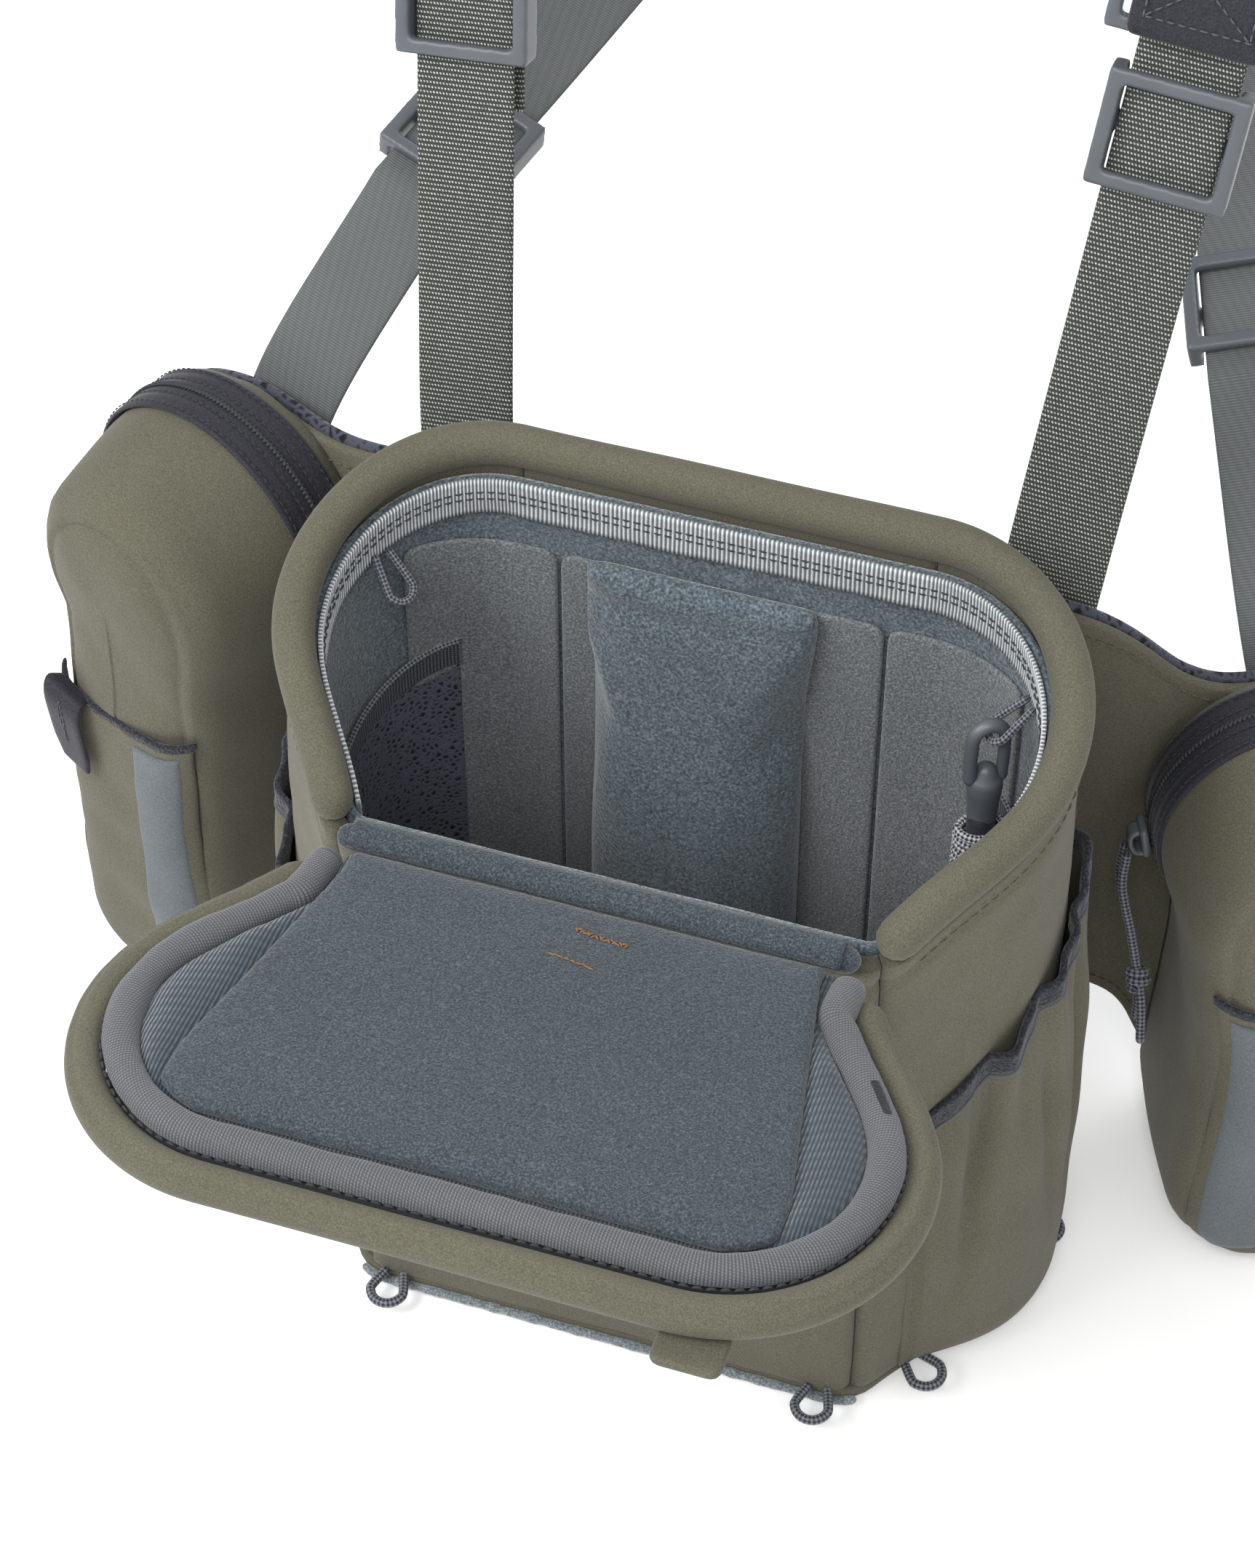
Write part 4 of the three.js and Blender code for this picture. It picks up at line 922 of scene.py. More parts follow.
def back_shell():
    """The back panel, which crosses the middle of the back where s changes sign."""
    x = np.linspace(HALF_WIDTH - BACK_RADIUS - 0.3, -(HALF_WIDTH - BACK_RADIUS) + 0.3, 50)
    edge = np.abs(np.abs(x) - x[0])
    front, back = [], []
    for share in np.linspace(0, 1, 80):
        top = rim_z(BACK_Y) - WALL_DROP + 1.5
        z = np.full_like(x, 1.2 + (top - 1.2) * share)
        offset = groove(edge, 2.0, 1.8) + 0.9 * math.sin(math.pi * share) + groove(z - 1.2, 2.2, 3.0)
        offset = offset + groove(top - z - 6.5, 0.9, 1.1)
        front.append(np.column_stack([x, BACK_Y + offset, z]))
        back.append(np.column_stack([x, np.full_like(x, BACK_Y - 5.2), z]))
    return slab("shell_back", front, back, "pack", softshell, stands_for=["back_panel"], slot="softshell")


back_shell()

loop_s = np.concatenate([np.linspace(0, 1, 90), -np.linspace(1, 0, 90)[1:-1]])
base_outline = wall_path(loop_s, -0.3)[:, :2]


def flat_place(points):
    return points


pillow(
    "base", base_outline, 0.05, 4.4, 2.1, "pack", softshell, flat_place,
    stands_for=["base_panel"], slot="softshell",
)
trim_s = np.linspace(-FRONT_SEAM, FRONT_SEAM, 150)
trim = wall_path(trim_s, 0.5, 1.5)
trim_section = ring(12)[None] * (1.25 + 0.22 * ripple(trim, 3, 8)[:, None, None])
loft("base_trim", trim, trim_section, "pack", trim_fleece, up=(0, 0, 1), slot="gasket")

roll_s = round_back(SIDE_START - 0.004, 170)
roll_path = wall_path(roll_s, -WALL / 2, lambda x, y: rim_z(y))
roll_path = resample(roll_path, 1.6)


def roll_section(path, radius, seam_angle, pucker=0.28, seed=5):
    """A padded roll's outline: a little uneven, with its seam pulled in on one side."""
    angle = np.arctan2(ring(30)[:, 1], ring(30)[:, 0])
    turn = (angle - seam_angle + math.pi) % TAU - math.pi
    size = radius * (1 + 0.05 * ripple(path, 60, seed))[:, None] * np.ones(30)[None]
    size = size - 0.16 * radius * np.exp(-((turn / 0.16) ** 2))
    near = np.exp(-((turn / 0.6) ** 2))
    size = size + pucker * near[None] * ripple(path, 7, seed + 1)[:, None]
    return np.stack([size * np.cos(angle), size * np.sin(angle)], axis=-1)


rim = loft(
    "rim_padding", roll_path, roll_section(roll_path, 5.3, math.radians(-62)), "pack", softshell,
    up=(0, 0, 1), stands_for=["rim_roll"], slot="softshell",
)
seam_s = round_back(SIDE_START + 0.01, 160)
seam_path = wall_path(seam_s, 0.75, lambda x, y: rim_z(y) - WALL_DROP - 3.3)
stitches("rim_seam_thread", seam_path, wall_out(seam_s), "pack", olive_thread, 3.2, 2.3, 0.26)


def liner_shell():
    """The fleece lining of the walls, and the floor inside it."""
    s = np.concatenate([np.linspace(0, 1, 110), -np.linspace(1, 0, 110)[1:-1]])
    foot = 7.2
    inner, outer = [], []
    for share in np.linspace(0, 1, 60):
        base = wall_path(s, LINER_FACE)
        top = rim_z(base[:, 1]) - WALL_DROP
        z = foot + (top - foot) * share
        place = np.column_stack([base[:, :2], z])
        offset = 0.35 * ripple(place, 34, 11) + groove(z - foot, -1.6, 3.0)
        inner.append(place - wall_out(s) * offset[:, None] * 0.8)
        out = wall_path(s, -WALL - 0.2)
        outer.append(np.column_stack([out[:, :2], z]))
    shell = slab(
        "fleece_lining", outer, inner, "pack", fleece, closed=True, stands_for=["liner"], slot="fleece"
    )
    floor_outline = wall_path(loop_s, LINER_FACE + 0.6)[:, :2]
    pillow(
        "fleece_floor", floor_outline, 7.0, 9.2, 1.0, "pack", fleece, flat_place,
        relief=lambda x, y: 0.5 * ripple(np.stack([x, y, 0 * x], axis=-1), 30, 12), slot="fleece",
    )
    return shell


liner_shell()
NODES["base_board"].data.materials.clear()
NODES["base_board"].data.materials.append(board_look.made)


def back_felt(name, x0, x1, look):
    """A felt panel sewn to the inside of the back wall; it bends with the back corners."""
    y = BACK_Y + LINER_FACE - 0.3
    top = rim_z(y) - WALL_DROP - TAPE_DEEP - 11

    def place(points):
        x = points[:, 0]
        straight = HALF_WIDTH - BACK_RADIUS
        radius = BACK_RADIUS + LINER_FACE
        angle = np.clip(np.abs(x) - straight, 0, None) / radius
        bent = np.abs(x) > straight
        r = radius - 0.3 - points[:, 2]
        px = np.where(bent, np.sign(x) * (straight + r * np.sin(angle)), x)
        py = np.where(bent, BACK_Y - BACK_RADIUS + r * np.cos(angle), y - points[:, 2])
        return np.column_stack([px, py, points[:, 1]])

    outline = rounded([(x0, 9), (x1, 9), (x1, top), (x0, top)], 4, 2.5)
    return pillow(name, outline, 0.0, 1.5, 0.9, "pack", look, place, slot="fleece")


back_felt("felt_left", -84, -43, felt)
back_felt("felt_middle", -42, 42, felt)
back_felt("felt_right", 43, 84, felt)


def tape_strip():
    """The ribbed tape inside the rim, with two rows of stitches."""
    s = round_back(FRONT_SEAM + 0.02, 900)
    face = LINER_FACE - GAP - 0.2
    inner, outer, uv = [], [], []
    along = np.concatenate([[0], np.cumsum(np.abs(np.diff(np.abs(s))))]) * WALL_LENGTH
    for share in np.linspace(0, 1, 9):
        base = wall_path(s, face)
        drop = WALL_DROP - 1.2 + share * (TAPE_DEEP + 1.2)
        z = rim_z(base[:, 1]) - drop / math.cos(SLOPE)
        place = np.column_stack([base[:, :2], z])
        rib = 0.16 * np.sin(TAU * along / 1.15)
        wave = 0.45 * share * ripple(place, 16, 21)
        inner.append(place - wall_out(s) * (1.0 + rib + wave)[:, None])
        outer.append(place)
        uv.append(np.column_stack([along, np.full_like(along, drop)]) * MM)
    piece = slab(
        "grosgrain", inner, outer, "pack", grosgrain, np.array(uv), stands_for=["rim_tape"], slot="rim_tape"
    )
    for row, drop in enumerate((7.0, 9.0)):
        place = wall_path(s, face - 1.25)
        place[:, 2] = rim_z(place[:, 1]) - drop / math.cos(SLOPE)
        stitches(f"tape_thread_{row}", place, -wall_out(s), "pack", dark_thread, 2.7, 2.0, 0.22)
    return piece


tape_piece = tape_strip()


def net_pocket(side, sign):
    """A net pocket on the side wall, inside, with its elastic band and edge cord."""
    s = sign * np.linspace(SIDE_START + 0.04, BACK_SEAM - 0.08, 60)
    room = 1.0 if side == "left" else 0.3
    front, back = [], []
    for share in np.linspace(0, 1, 40):
        base = wall_path(s, LINER_FACE - GAP - 0.2)
        top = 108 + (base[:, 1] - FRONT_Y) * 0.55
        z = 24 + (top - 24) * share
        place = np.column_stack([base[:, :2], z])
        belly = room * (1.3 * math.sin(math.pi * share) + 0.4 * ripple(place, 26, 31)) + 0.2
        front.append(place - wall_out(s) * (0.9 + np.clip(belly, 0, 3))[:, None])
        back.append(place - wall_out(s) * (0.2 + np.clip(belly, 0, 3))[:, None])
    piece = slab(
        "net_pocket_" + side, front, back, "pack", pocket_net,
        stands_for=["mesh_pocket_" + side], slot="mesh",
    )
    lip = place - wall_out(s) * 1.3
    band = lip - np.array([0, 0, 3.4])
    loft(
        "net_band_" + side, band, flat_section(7.5, 1.3), "pack", elastic,
        basis=(np.broadcast_to((0, 0, 1.0), band.shape), -wall_out(s)), slot="dark_nylon",
    )
    cord("net_edge_" + side, lip + np.array([0, 0, 0.8]), 0.9, "pack", slot="dark_nylon")
    return piece


for side, sign in SIDES:
    net_piece = net_pocket(side, sign)


def wedge():
    """Foam divider: a tall pad that thins towards its folded top."""
    back = BACK_Y + LINER_FACE - GAP
    x = np.linspace(-35, 27, 40)
    across = np.linspace(-1, 1, 40)
    profile = curve(
        [
            (back - 15, 9.2, 0), (back - 15.5, 60, 0), (back - 15, 110, 0), (back - 11, 150, 0),
            (back - 8, 180, 0), (back - 7.4, 193, 0), (back - 5, 198, 0), (back - 1.6, 199, 0),
        ],
        2.5,
    )
    front, rear = [], []
    for y, z, _ in profile:
        ridge = float(np.interp(z, [0, 148, 180], [0.34, 0.4, 0.95]))
        facet = np.clip((np.abs(across + 0.12) - ridge) / (1 - ridge), 0, 1)
        facet = facet * np.clip((184 - z) / 26, 0, 1)
        depth = (back - y) * (1 - 0.35 * np.abs(across) ** 8 - 0.42 * facet)
        front.append(np.column_stack([x, back - depth, np.full_like(x, z)]))
        rear.append(np.column_stack([x, np.full_like(x, back - 0.3), np.full_like(x, z)]))
    return slab("divider", front, rear, "pack", fleece, stands_for=["divider_pad"], slot="fleece")


divider = puff(wedge(), 3, 3.5, 2.2)


def divider_seams(points):
    """Folded top seams and the V creases below them."""
    x, y, z = points.T
    face = y < BACK_Y + LINER_FACE - 3
    line = groove(z - 188 - 0.02 * x, 2.8, 1.7)
    slant = np.minimum(np.abs((x + 33) * 1.7 + (z - 182)), np.abs((25 - x) * 1.7 + (z - 182))) / 2
    crease = groove(slant, 1.8, 1.4) * np.clip((z - 146) / 10, 0, 1) * (z < 183)
    push = np.where(face, -(line + crease), 0)
    return np.column_stack([0 * x, push, 0 * x])


press(divider, divider_seams)

back_outline = rounded([(-60, 14), (60, 14), (60, 196), (-60, 196)], 14, 4)
back_pad = pillow(
    "back_pad", back_outline, 0.3, 4.0, 1.8, "pack", spacer,
    lambda p: np.column_stack([p[:, 0], BACK_Y + p[:, 2], p[:, 1]]),
    crown=1.2,
    relief=lambda x, y: groove(np.abs(x) - 30, 1.6, 2.2) + groove(y - 105, 1.6, 2.2),
    stands_for=["back_mesh"], slot="mesh",
)

FOLD_HALF = 61
fold_path = np.array([(x, HINGE_Y, HINGE_Z - 0.2) for x in np.linspace(-FOLD_HALF, FOLD_HALF, 90)])
fold = loft("fold_roll", fold_path, ring(20) * 3.3, "pack", lid_fleece, up=(0, 0, 1),
            stands_for=["hinge_fold"], slot="fleece")


def fold_cover():
    """Fleece that comes up the front wall from inside and turns over the hinge to the lid."""
    turn = np.radians(np.linspace(8, 165, 12))
    sleeve = [(HINGE_Y + 4.7 * math.cos(q), HINGE_Z + 4.7 * math.sin(q), 0) for q in turn]
    core = [(HINGE_Y + 3.5 * math.cos(q), HINGE_Z + 3.5 * math.sin(q), 0) for q in turn]
    rise = [(-46, 168, 0), (-46, 176, 0), (-46.5, 181, 0), (-48.4, 183.6, 0), (-50.6, 185.2, 0)]
    under = [(-51.5, 168, 0), (-51.6, 176, 0), (-51.7, 180, 0), (-52, 183.6, 0), (-52.3, 185.6, 0)]
    outer = curve([*rise, *sleeve], 0.8)
    inner = curve([*under, *core], 0.8)
    outer, inner = outer[:, :2], inner[:, :2]
    inner = resample(np.column_stack([inner, 0 * inner[:, 0]]), count=len(outer))[:, :2]
    x = np.linspace(-1, 1, 90)
    front, back = [], []
    half = FOLD_HALF - 0.8
    for row, (near, far) in enumerate(zip(outer, inner)):
        swell = 0.2 * ripple(np.column_stack([x * half, 0 * x, 0 * x + row * 0.8]), 30, 41)
        share = np.clip((near[1] - 180) / 8, 0, 1)
        front.append(np.column_stack([x * half, 0 * x + near[0], near[1] + swell * share]))
        back.append(np.column_stack([x * half, 0 * x + far[0], 0 * x + far[1]]))
    return slab("fold_cover", front, back, "pack", lid_fleece, slot="fleece")


fold_cover()

# ------------------------------------------------------------------ side stretch pockets
LIP_FRONT_Y, LIP_FRONT_Z, LIP_SLOPE, LIP_TOP = -38, 108, 0.72, 152


def lip_z(y):
    return np.minimum(LIP_FRONT_Z + (y - LIP_FRONT_Y) * LIP_SLOPE, LIP_TOP)


def stretch_pocket(side, sign):
    """An outer pocket that bulges and folds, gathered under its band."""
    foot = 6
    s0, s1 = SIDE_START + 0.03, BACK_SEAM - 0.1
    s = sign * np.linspace(s0, s1, 130)
    share_s = np.linspace(0, 1, 130)
    swell = 3 + 8 * np.sin(np.pi * share_s)
    edge = np.minimum(share_s, 1 - share_s) * (s1 - s0) * WALL_LENGTH
    front, back = [], []
    for share in np.linspace(0, 1, 56):
        base = wall_path(s, 0)
        top = lip_z(base[:, 1])
        z = foot + (top - foot) * share
        place = np.column_stack([base[:, :2], z])
        gathers = ripple(np.column_stack([share_s * 90, 0 * z, z * 0.18]), 10, 51)
        fold = 2.6 * gathers * np.clip((share - 0.45) / 0.5, 0, 1) ** 1.4
        sag = 0.8 * ripple(place, 40, 52)
        belly = 0.55 + 0.45 * math.sin(math.pi * min(1, 0.25 + share * 0.72))
        offset = swell * belly + fold + sag
        for middle, tilt in ((0.2, 8), (0.38, -6), (0.56, 5), (0.76, -8)):
            away = (share_s - middle) * (s1 - s0) * WALL_LENGTH + tilt * (1 - share)
            offset = offset + groove(away, 4.5, 3.2) * np.clip((share - 0.2) / 0.5, 0, 1)
        offset = np.clip(offset, 1.9, 12) * np.clip(edge / 4, 0.25, 1)
        offset = offset + groove(z - foot, 1.6, 2.5) * 0.8
        front.append(place + wall_out(s) * np.maximum(offset, 1.3)[:, None])
        back.append(place + wall_out(s) * np.maximum(offset - 1.2, 0.4)[:, None])
    rim_line = (front[-1] + back[-1]) / 2
    piece = slab(
        "stretch_pocket_" + side, front, back, "pack", softshell,
        stands_for=["side_pocket_" + side], slot="softshell",
    )
    band = rim_line + np.array([0, 0, 1.2])
    loft(
        "pocket_band_" + side, band, flat_section(7.5, 2.0), "pack", velour,
        basis=(np.broadcast_to((0, 0, 1.0), band.shape), wall_out(s)),
        stands_for=["side_pocket_binding_" + side], slot="dark_nylon",
    )
    edge_line = rim_line + wall_out(s) * 0.9 + np.array([0, 0, -2.8])
    cord("pocket_edge_" + side, edge_line, 0.5, "pack", grey_thread, slot="cord")
    return piece


for side, sign in SIDES:
    pocket = stretch_pocket(side, sign)

# ------------------------------------------------------------------ lid
ROLL_MID = ROLL + ROLL_GAP
SHELL_TOP = ROLL_MID + ROLL - 0.5
SHELL_LOW = SHELL_TOP - 3.5
INSIDE_ROLL = -WALL / 2 - ROLL - GAP
LINING_TOP = SHELL_LOW - GAP - 1.8 - GAP
GASKET_OFFSET = INSIDE_ROLL - 3.5
LINING_OFFSET = GASKET_OFFSET - 3.5 - GAP
LID_START = 5.1


def lid_place(points):
    """From the lid's own frame, +Y away from the hinge and +Z out of the shut lid."""
    p = np.asarray(points, float)
    c, s = math.cos(LID_TURN), math.sin(LID_TURN)
    return np.stack(
        [p[..., 0], HINGE_Y + p[..., 1] * c - p[..., 2] * s, HINGE_Z + p[..., 1] * s + p[..., 2] * c],
        axis=-1,
    )


def lid_path(s, offset, z=0.0):
    x, y = wall(s, offset)
    return np.stack([x, (y - HINGE_Y) / math.cos(SLOPE), np.full_like(x, z)], axis=-1)


LID_UP = lid_place([(0, 0, -1)])[0] - lid_place([(0, 0, 0)])[0]

lid_s = round_back(SIDE_START - 0.004, 170)
roll_line = resample(lid_place(lid_path(lid_s, -WALL / 2 - 0.7, ROLL_MID)), 1.6)
lid_roll = loft(
    "lid_padding", roll_line, roll_section(roll_line, 4.6, math.radians(128), 0.2, 61), "lid", softshell,
    up=LID_UP, stands_for=["lid_edge_roll"], slot="softshell",
)

lid_outline = lid_path(round_back(SIDE_START, 60), INSIDE_ROLL)[:, :2]
lid_outline = np.vstack([lid_outline, [(lid_outline[-1][0], LID_START), (lid_outline[0][0], LID_START)]])
lid_shell = pillow(
    "lid_outside", rounded(lid_outline, 2, 3), SHELL_LOW, SHELL_TOP, 1.5, "lid", softshell, lid_place,
    crown=1.5,
    relief=lambda x, y: 0.4 * ripple(np.stack([x, y, 0 * x], axis=-1), 45, 62),
    stands_for=["lid_shell"], slot="softshell",
)
NODES["lid_board"].data.materials.clear()
NODES["lid_board"].data.materials.append(board_look.made)

gasket_s = round_back(SIDE_START - 0.002, 170)
gasket_run = lid_path(gasket_s, GASKET_OFFSET, LINING_TOP - 3.6)
near_right, near_left = gasket_run[0] + (0.8, -8.5, 0.6), gasket_run[-1] + (-0.8, -8.5, 0.6)
gasket_run = curve([near_right, *gasket_run[2:-2:4], near_left], 1.2)
gasket_line = lid_place(gasket_run)
gasket_size = (1 + 0.06 * ripple(gasket_line, 26, 63) + 0.035 * ripple(gasket_line, 8, 64))[:, None, None]
gasket = loft(
    "lid_piping", gasket_line, ring(20)[None] * np.array([4.1, 3.6]) * gasket_size, "lid", piping,
    up=LID_UP, stands_for=["lid_gasket"], slot="gasket",
)
thread_s = round_back(SIDE_START + 0.01, 170)
thread_line = lid_place(lid_path(thread_s, INSIDE_ROLL + 0.9, ROLL_MID - 3.9))
stitches("lid_thread", thread_line, LID_UP, "lid", dark_thread, 3.0, 2.3, 0.35)


PANEL_NEAR, PANEL_FAR = 58, 71
LINING_EDGE = lid_path(np.linspace(SIDE_START, 1, 200), LINING_OFFSET)[:, :2]
LINING_FAR = LINING_EDGE[:, 1].max()


def panel_half(y):
    """Half the raised panel's width, which grows away from the hinge."""
    return PANEL_NEAR + (PANEL_FAR - PANEL_NEAR) * np.clip((y - 10) / (LINING_FAR - 30), 0, 1)


def lid_backing():
    """Fleece under the raised panel: a padded channel runs down each side of it."""
    order = np.argsort(LINING_EDGE[:, 1])
    y = np.linspace(LID_START, LINING_FAR - 0.4, 64)
    half = np.interp(y, LINING_EDGE[order, 1], LINING_EDGE[order, 0])
    across = np.linspace(-1, 1, 110)
    low, high = [], []
    for yy, hh in zip(y, half):
        x = across * hh
        pad = panel_half(yy)
        beside = np.clip((np.abs(x) - pad + 1) / max(hh - pad + 1, 2), 0, 1)
        wide = np.clip((hh - pad) / 8, 0, 1)
        puffed = 2.9 * wide * np.sin(np.pi * beside) ** 0.6
        ridge = ripple(np.column_stack([x, np.full_like(x, yy), 0 * x]), 12, 65)
        puffed = puffed + 0.3 * ridge * (puffed > 0.2)
        low.append(np.column_stack([x, np.full_like(x, yy), LINING_TOP - 2.8 - puffed]))
        high.append(np.column_stack([x, np.full_like(x, yy), np.full_like(x, LINING_TOP)]))
    uv = np.array([row[:, [0, 1]] * MM for row in low])
    return slab("lid_backing", lid_place(np.array(low)), lid_place(np.array(high)), "lid", rib_knit, uv,
                stands_for=["lid_lining"], slot="fleece")


lid_backing()
pad_y = np.linspace(LID_START + 0.8, LINING_FAR - 1.5, 60)
far_part = LINING_EDGE[np.argmax(LINING_EDGE[:, 0]):]
limit = np.interp(pad_y, far_part[:, 1], far_part[:, 0] - 1.5)
pad_half = np.minimum(panel_half(pad_y), limit)
pad_side = np.column_stack([pad_half, pad_y])
pad_outline = np.vstack([pad_side, pad_side[::-1] * np.array([-1, 1])])
pad_outline = resample(np.vstack([pad_outline, pad_outline[:1]]), 2.2)[:-1]


def lid_pad_place(points):
    flipped = points.copy()
    flipped[:, 2] = -points[:, 2]
    return lid_place(flipped)


def pad_relief(x, y):
    place = np.stack([x, y, 0 * x], axis=-1)
    return 0.35 * ripple(place, 48, 66) + 0.12 * ripple(place, 3.2, 67)


lid_pad = pillow(
    "lid_panel", pad_outline, -(LINING_TOP - 2.9), -(LINING_TOP - 6.6), 1.9, "lid", lid_fleece,
    lid_pad_place, crown=0.9, relief=pad_relief, slot="fleece",
)
lid_pad = puff(lid_pad, 2.5, 1.2, 2.4, 16)
pad_points = np.array([lid_pad.matrix_world @ v.co for v in lid_pad.data.vertices]) / MM
lid_down = np.array([0, math.sin(LID_TURN), -math.cos(LID_TURN)])
lid_along = np.array([0, math.cos(LID_TURN), math.sin(LID_TURN)])
from_hinge = pad_points - np.array([0, HINGE_Y, HINGE_Z])
pad_points = np.column_stack([pad_points[:, 0], from_hinge @ lid_along, from_hinge @ lid_down])


def pad_face(x, y):
    """How far the simulated panel stands out of the lid near a place."""
    near = np.hypot(pad_points[:, 0] - x, pad_points[:, 1] - y) < 2.5
    return pad_points[near, 2].max() + 0.1


def bar_tack(name, x, y, long, width):
    """A slanted zigzag of thread on the lid's raised panel."""
    zig = []
    for i in range(27):
        zag = width if i % 2 else -width
        zig.append((x + long * (i / 26 - 0.5), y + 0.066 * (i - 13) + zag))
    zig = np.array([(px, py, -pad_face(px, py)) for px, py in zig])
    stitches(name, lid_place(resample(zig, 0.8)), LID_UP, "lid", brown_thread, 1.7, 1.6, 0.22)


bar_tack("tack_near", 7, 17, 13, 0.7)
bar_tack("tack_far", 3, 27, 11, 0.35)

slot_s = np.linspace(-0.02, 0.02, 14) + (SIDE_START + WIDEST) / 2
slot_line = lid_place(lid_path(slot_s, GASKET_OFFSET + 0.9, LINING_TOP - 6.8))
slot_section = ring(10) * np.array([1.1, 0.7])
loft("gasket_slot", slot_line, slot_section, "lid", dark_nylon, up=LID_UP, slot="dark_nylon")

tab_edge = lid_path(np.array([1.0]), -WALL / 2 + ROLL)[0][1]
tab_outline = rounded([(-8, -10), (8, -10), (8, 2.5), (-8, 2.5)], 3, 1.2)
pillow(
    "lid_tab", tab_outline, ROLL_MID + ROLL + GAP, ROLL_MID + ROLL + GAP + 2.4, 0.9, "lid", softshell,
    lambda p: lid_place(p + np.array([60, tab_edge + 1, 0])), stands_for=["lid_pull_tab"],
    slot="softshell",
)
tab_row = [(x, tab_edge - 3, ROLL_MID + ROLL + 2.8) for x in np.linspace(54, 66, 12)]
tab_line = lid_place(np.array(tab_row))
stitches("lid_tab_thread", tab_line, -LID_UP, "lid", olive_thread, 2.6, 1.9, 0.25)


# ------------------------------------------------------------------ side pouches
def pouch_place(sign):
    """From a side pouch's own frame, with its front face at -Y, to the pack's."""
    c, s = math.cos(POUCH_TURN), math.sin(POUCH_TURN)

    def place(points):
        p = np.asarray(points, float)
        x = POUCH_X + p[..., 0] * c - p[..., 1] * s
        y = POUCH_Y + p[..., 0] * s + p[..., 1] * c
        return np.stack([sign * x, y, p[..., 2]], axis=-1)

    return place


def tombstone(inset, arch, count=150):
    """The pouch's outline from the front: an arch that eases into a rounded foot."""
    radius, foot, curl = ARCH_RADIUS - inset, FOOT_HALF - inset, max(FOOT_RADIUS - inset, 2)
    middle, pull = ARCH_RADIUS, 34
    end_x, end_z = radius * math.cos(ARCH_END), arch - radius * math.sin(ARCH_END)
    lean = pull * np.array([math.sin(ARCH_END), math.cos(ARCH_END)])
    top = np.array([middle + end_x, end_z])
    side = middle + foot
    right = bezier((side, inset + curl), (side, inset + curl + pull), top - lean, top, 40)
    a = np.linspace(-ARCH_END, math.pi + ARCH_END, 80)
    arc = np.stack([middle + radius * np.cos(a), arch + radius * np.sin(a)], axis=1)
    left = right[::-1] * np.array([-1, 1]) + np.array([2 * middle, 0])
    b = np.linspace(math.pi, 1.5 * math.pi, 16)
    curl_x = middle - foot + curl + curl * np.cos(b)
    curl_left = np.stack([curl_x, inset + curl + curl * np.sin(b)], axis=1)
    curl_right = curl_left[::-1] * np.array([-1, 1]) + np.array([2 * middle, 0])
    line = np.vstack([right, arc[1:], left[1:], curl_left[1:], curl_right])
    return resample(line, count=count + 1)[:-1]


def pouch_body(side, sign):
    """Front face, seam and gusset of a side pouch as one closed, soft form."""
    arch = ARCH_HEIGHT[side]
    place = pouch_place(sign)
    rows = [(12, 0.4), (4, 0.2), (0.6, 0.0), (0.2, -4)]
    rows += [(0.2 - 0.9 * math.sin(math.pi * q), -4 - 42 * q) for q in np.linspace(0.1, 1, 9)]
    rows += [(0.7, -49), (1.8, -52), (3.6, -54.6), (5.6, -56.4)]
    rows += [(6.6, -55.7), (7.4, -56.6), (9.0, -57.6), (11.5, -58.6)]
    grid = []
    for inset, y in rows:
        outline = tombstone(inset, arch)
        lean = 8.5 * np.clip((-y - 18) / 38, 0, 1) ** 1.2
        tapered = tombstone(inset + lean, arch)
        share = np.clip((outline[:, 1] - 95) / (arch - 95), 0, 1)[:, None] ** 1.3
        outline = outline + (tapered - outline) * share
        grid.append(np.column_stack([outline[:, 0], np.full(len(outline), y), outline[:, 1]]))
    spine = np.column_stack([np.full(len(outline), ARCH_RADIUS), np.clip(outline[:, 1], 40, arch - 4)])
    for share in (0.25, 0.5, 0.72, 0.88, 0.97):
        flat = outline + (spine - outline) * share
        y = -58.6 - 2.2 * math.sin(share * math.pi / 2)
        grid.append(np.column_stack([flat[:, 0], np.full(len(flat), y), flat[:, 1]]))
    grid = np.array(grid)
    for i in range(1, len(grid)):
        swell = ripple(grid[i], 46, 70 + sign) * 1.5 + ripple(grid[i], 17, 73 + sign) * 0.45
        grid[i][:, 1] -= swell * np.clip((-grid[i][:, 1] - 20) / 30, 0, 1)
        pull = np.clip((grid[i][:, 2] - 20) / 60, 0, 1)
        out = unit(np.column_stack([grid[i][:, 0] - ARCH_RADIUS, 0 * pull, grid[i][:, 2] - 90]))
        grid[i] += out * (0.8 * swell * pull)[:, None] * (grid[i][:, 1] > -50)[:, None]
    grid[:, :, 2] = np.maximum(grid[:, :, 2], 0.3)
    count = grid.shape[1]
    faces = strip_faces(len(grid), count, True)
    faces.append(list(range(count)))
    faces.append([(len(grid) - 1) * count + j for j in range(count)])
    return make(
        "pouch_" + side, place(grid.reshape(-1, 3)), faces, "pack", softshell,
        stands_for=["side_pouch_" + side], slot="softshell",
    )


ZIP_SPAN = (-21, 201)  # the zip's ends round the arch, in degrees
ZIP_MIDDLE = -12.5  # the zip's middle, behind the pouch's front edge


def arch_line(arch, radius, y, start, end, count=120):
    """A line round the arch at one depth, between two angles in degrees."""
    a = np.radians(np.linspace(start, end, count))
    x, z = ARCH_RADIUS + radius * np.cos(a), arch + radius * np.sin(a)
    return np.column_stack([x, np.full(count, y), z])


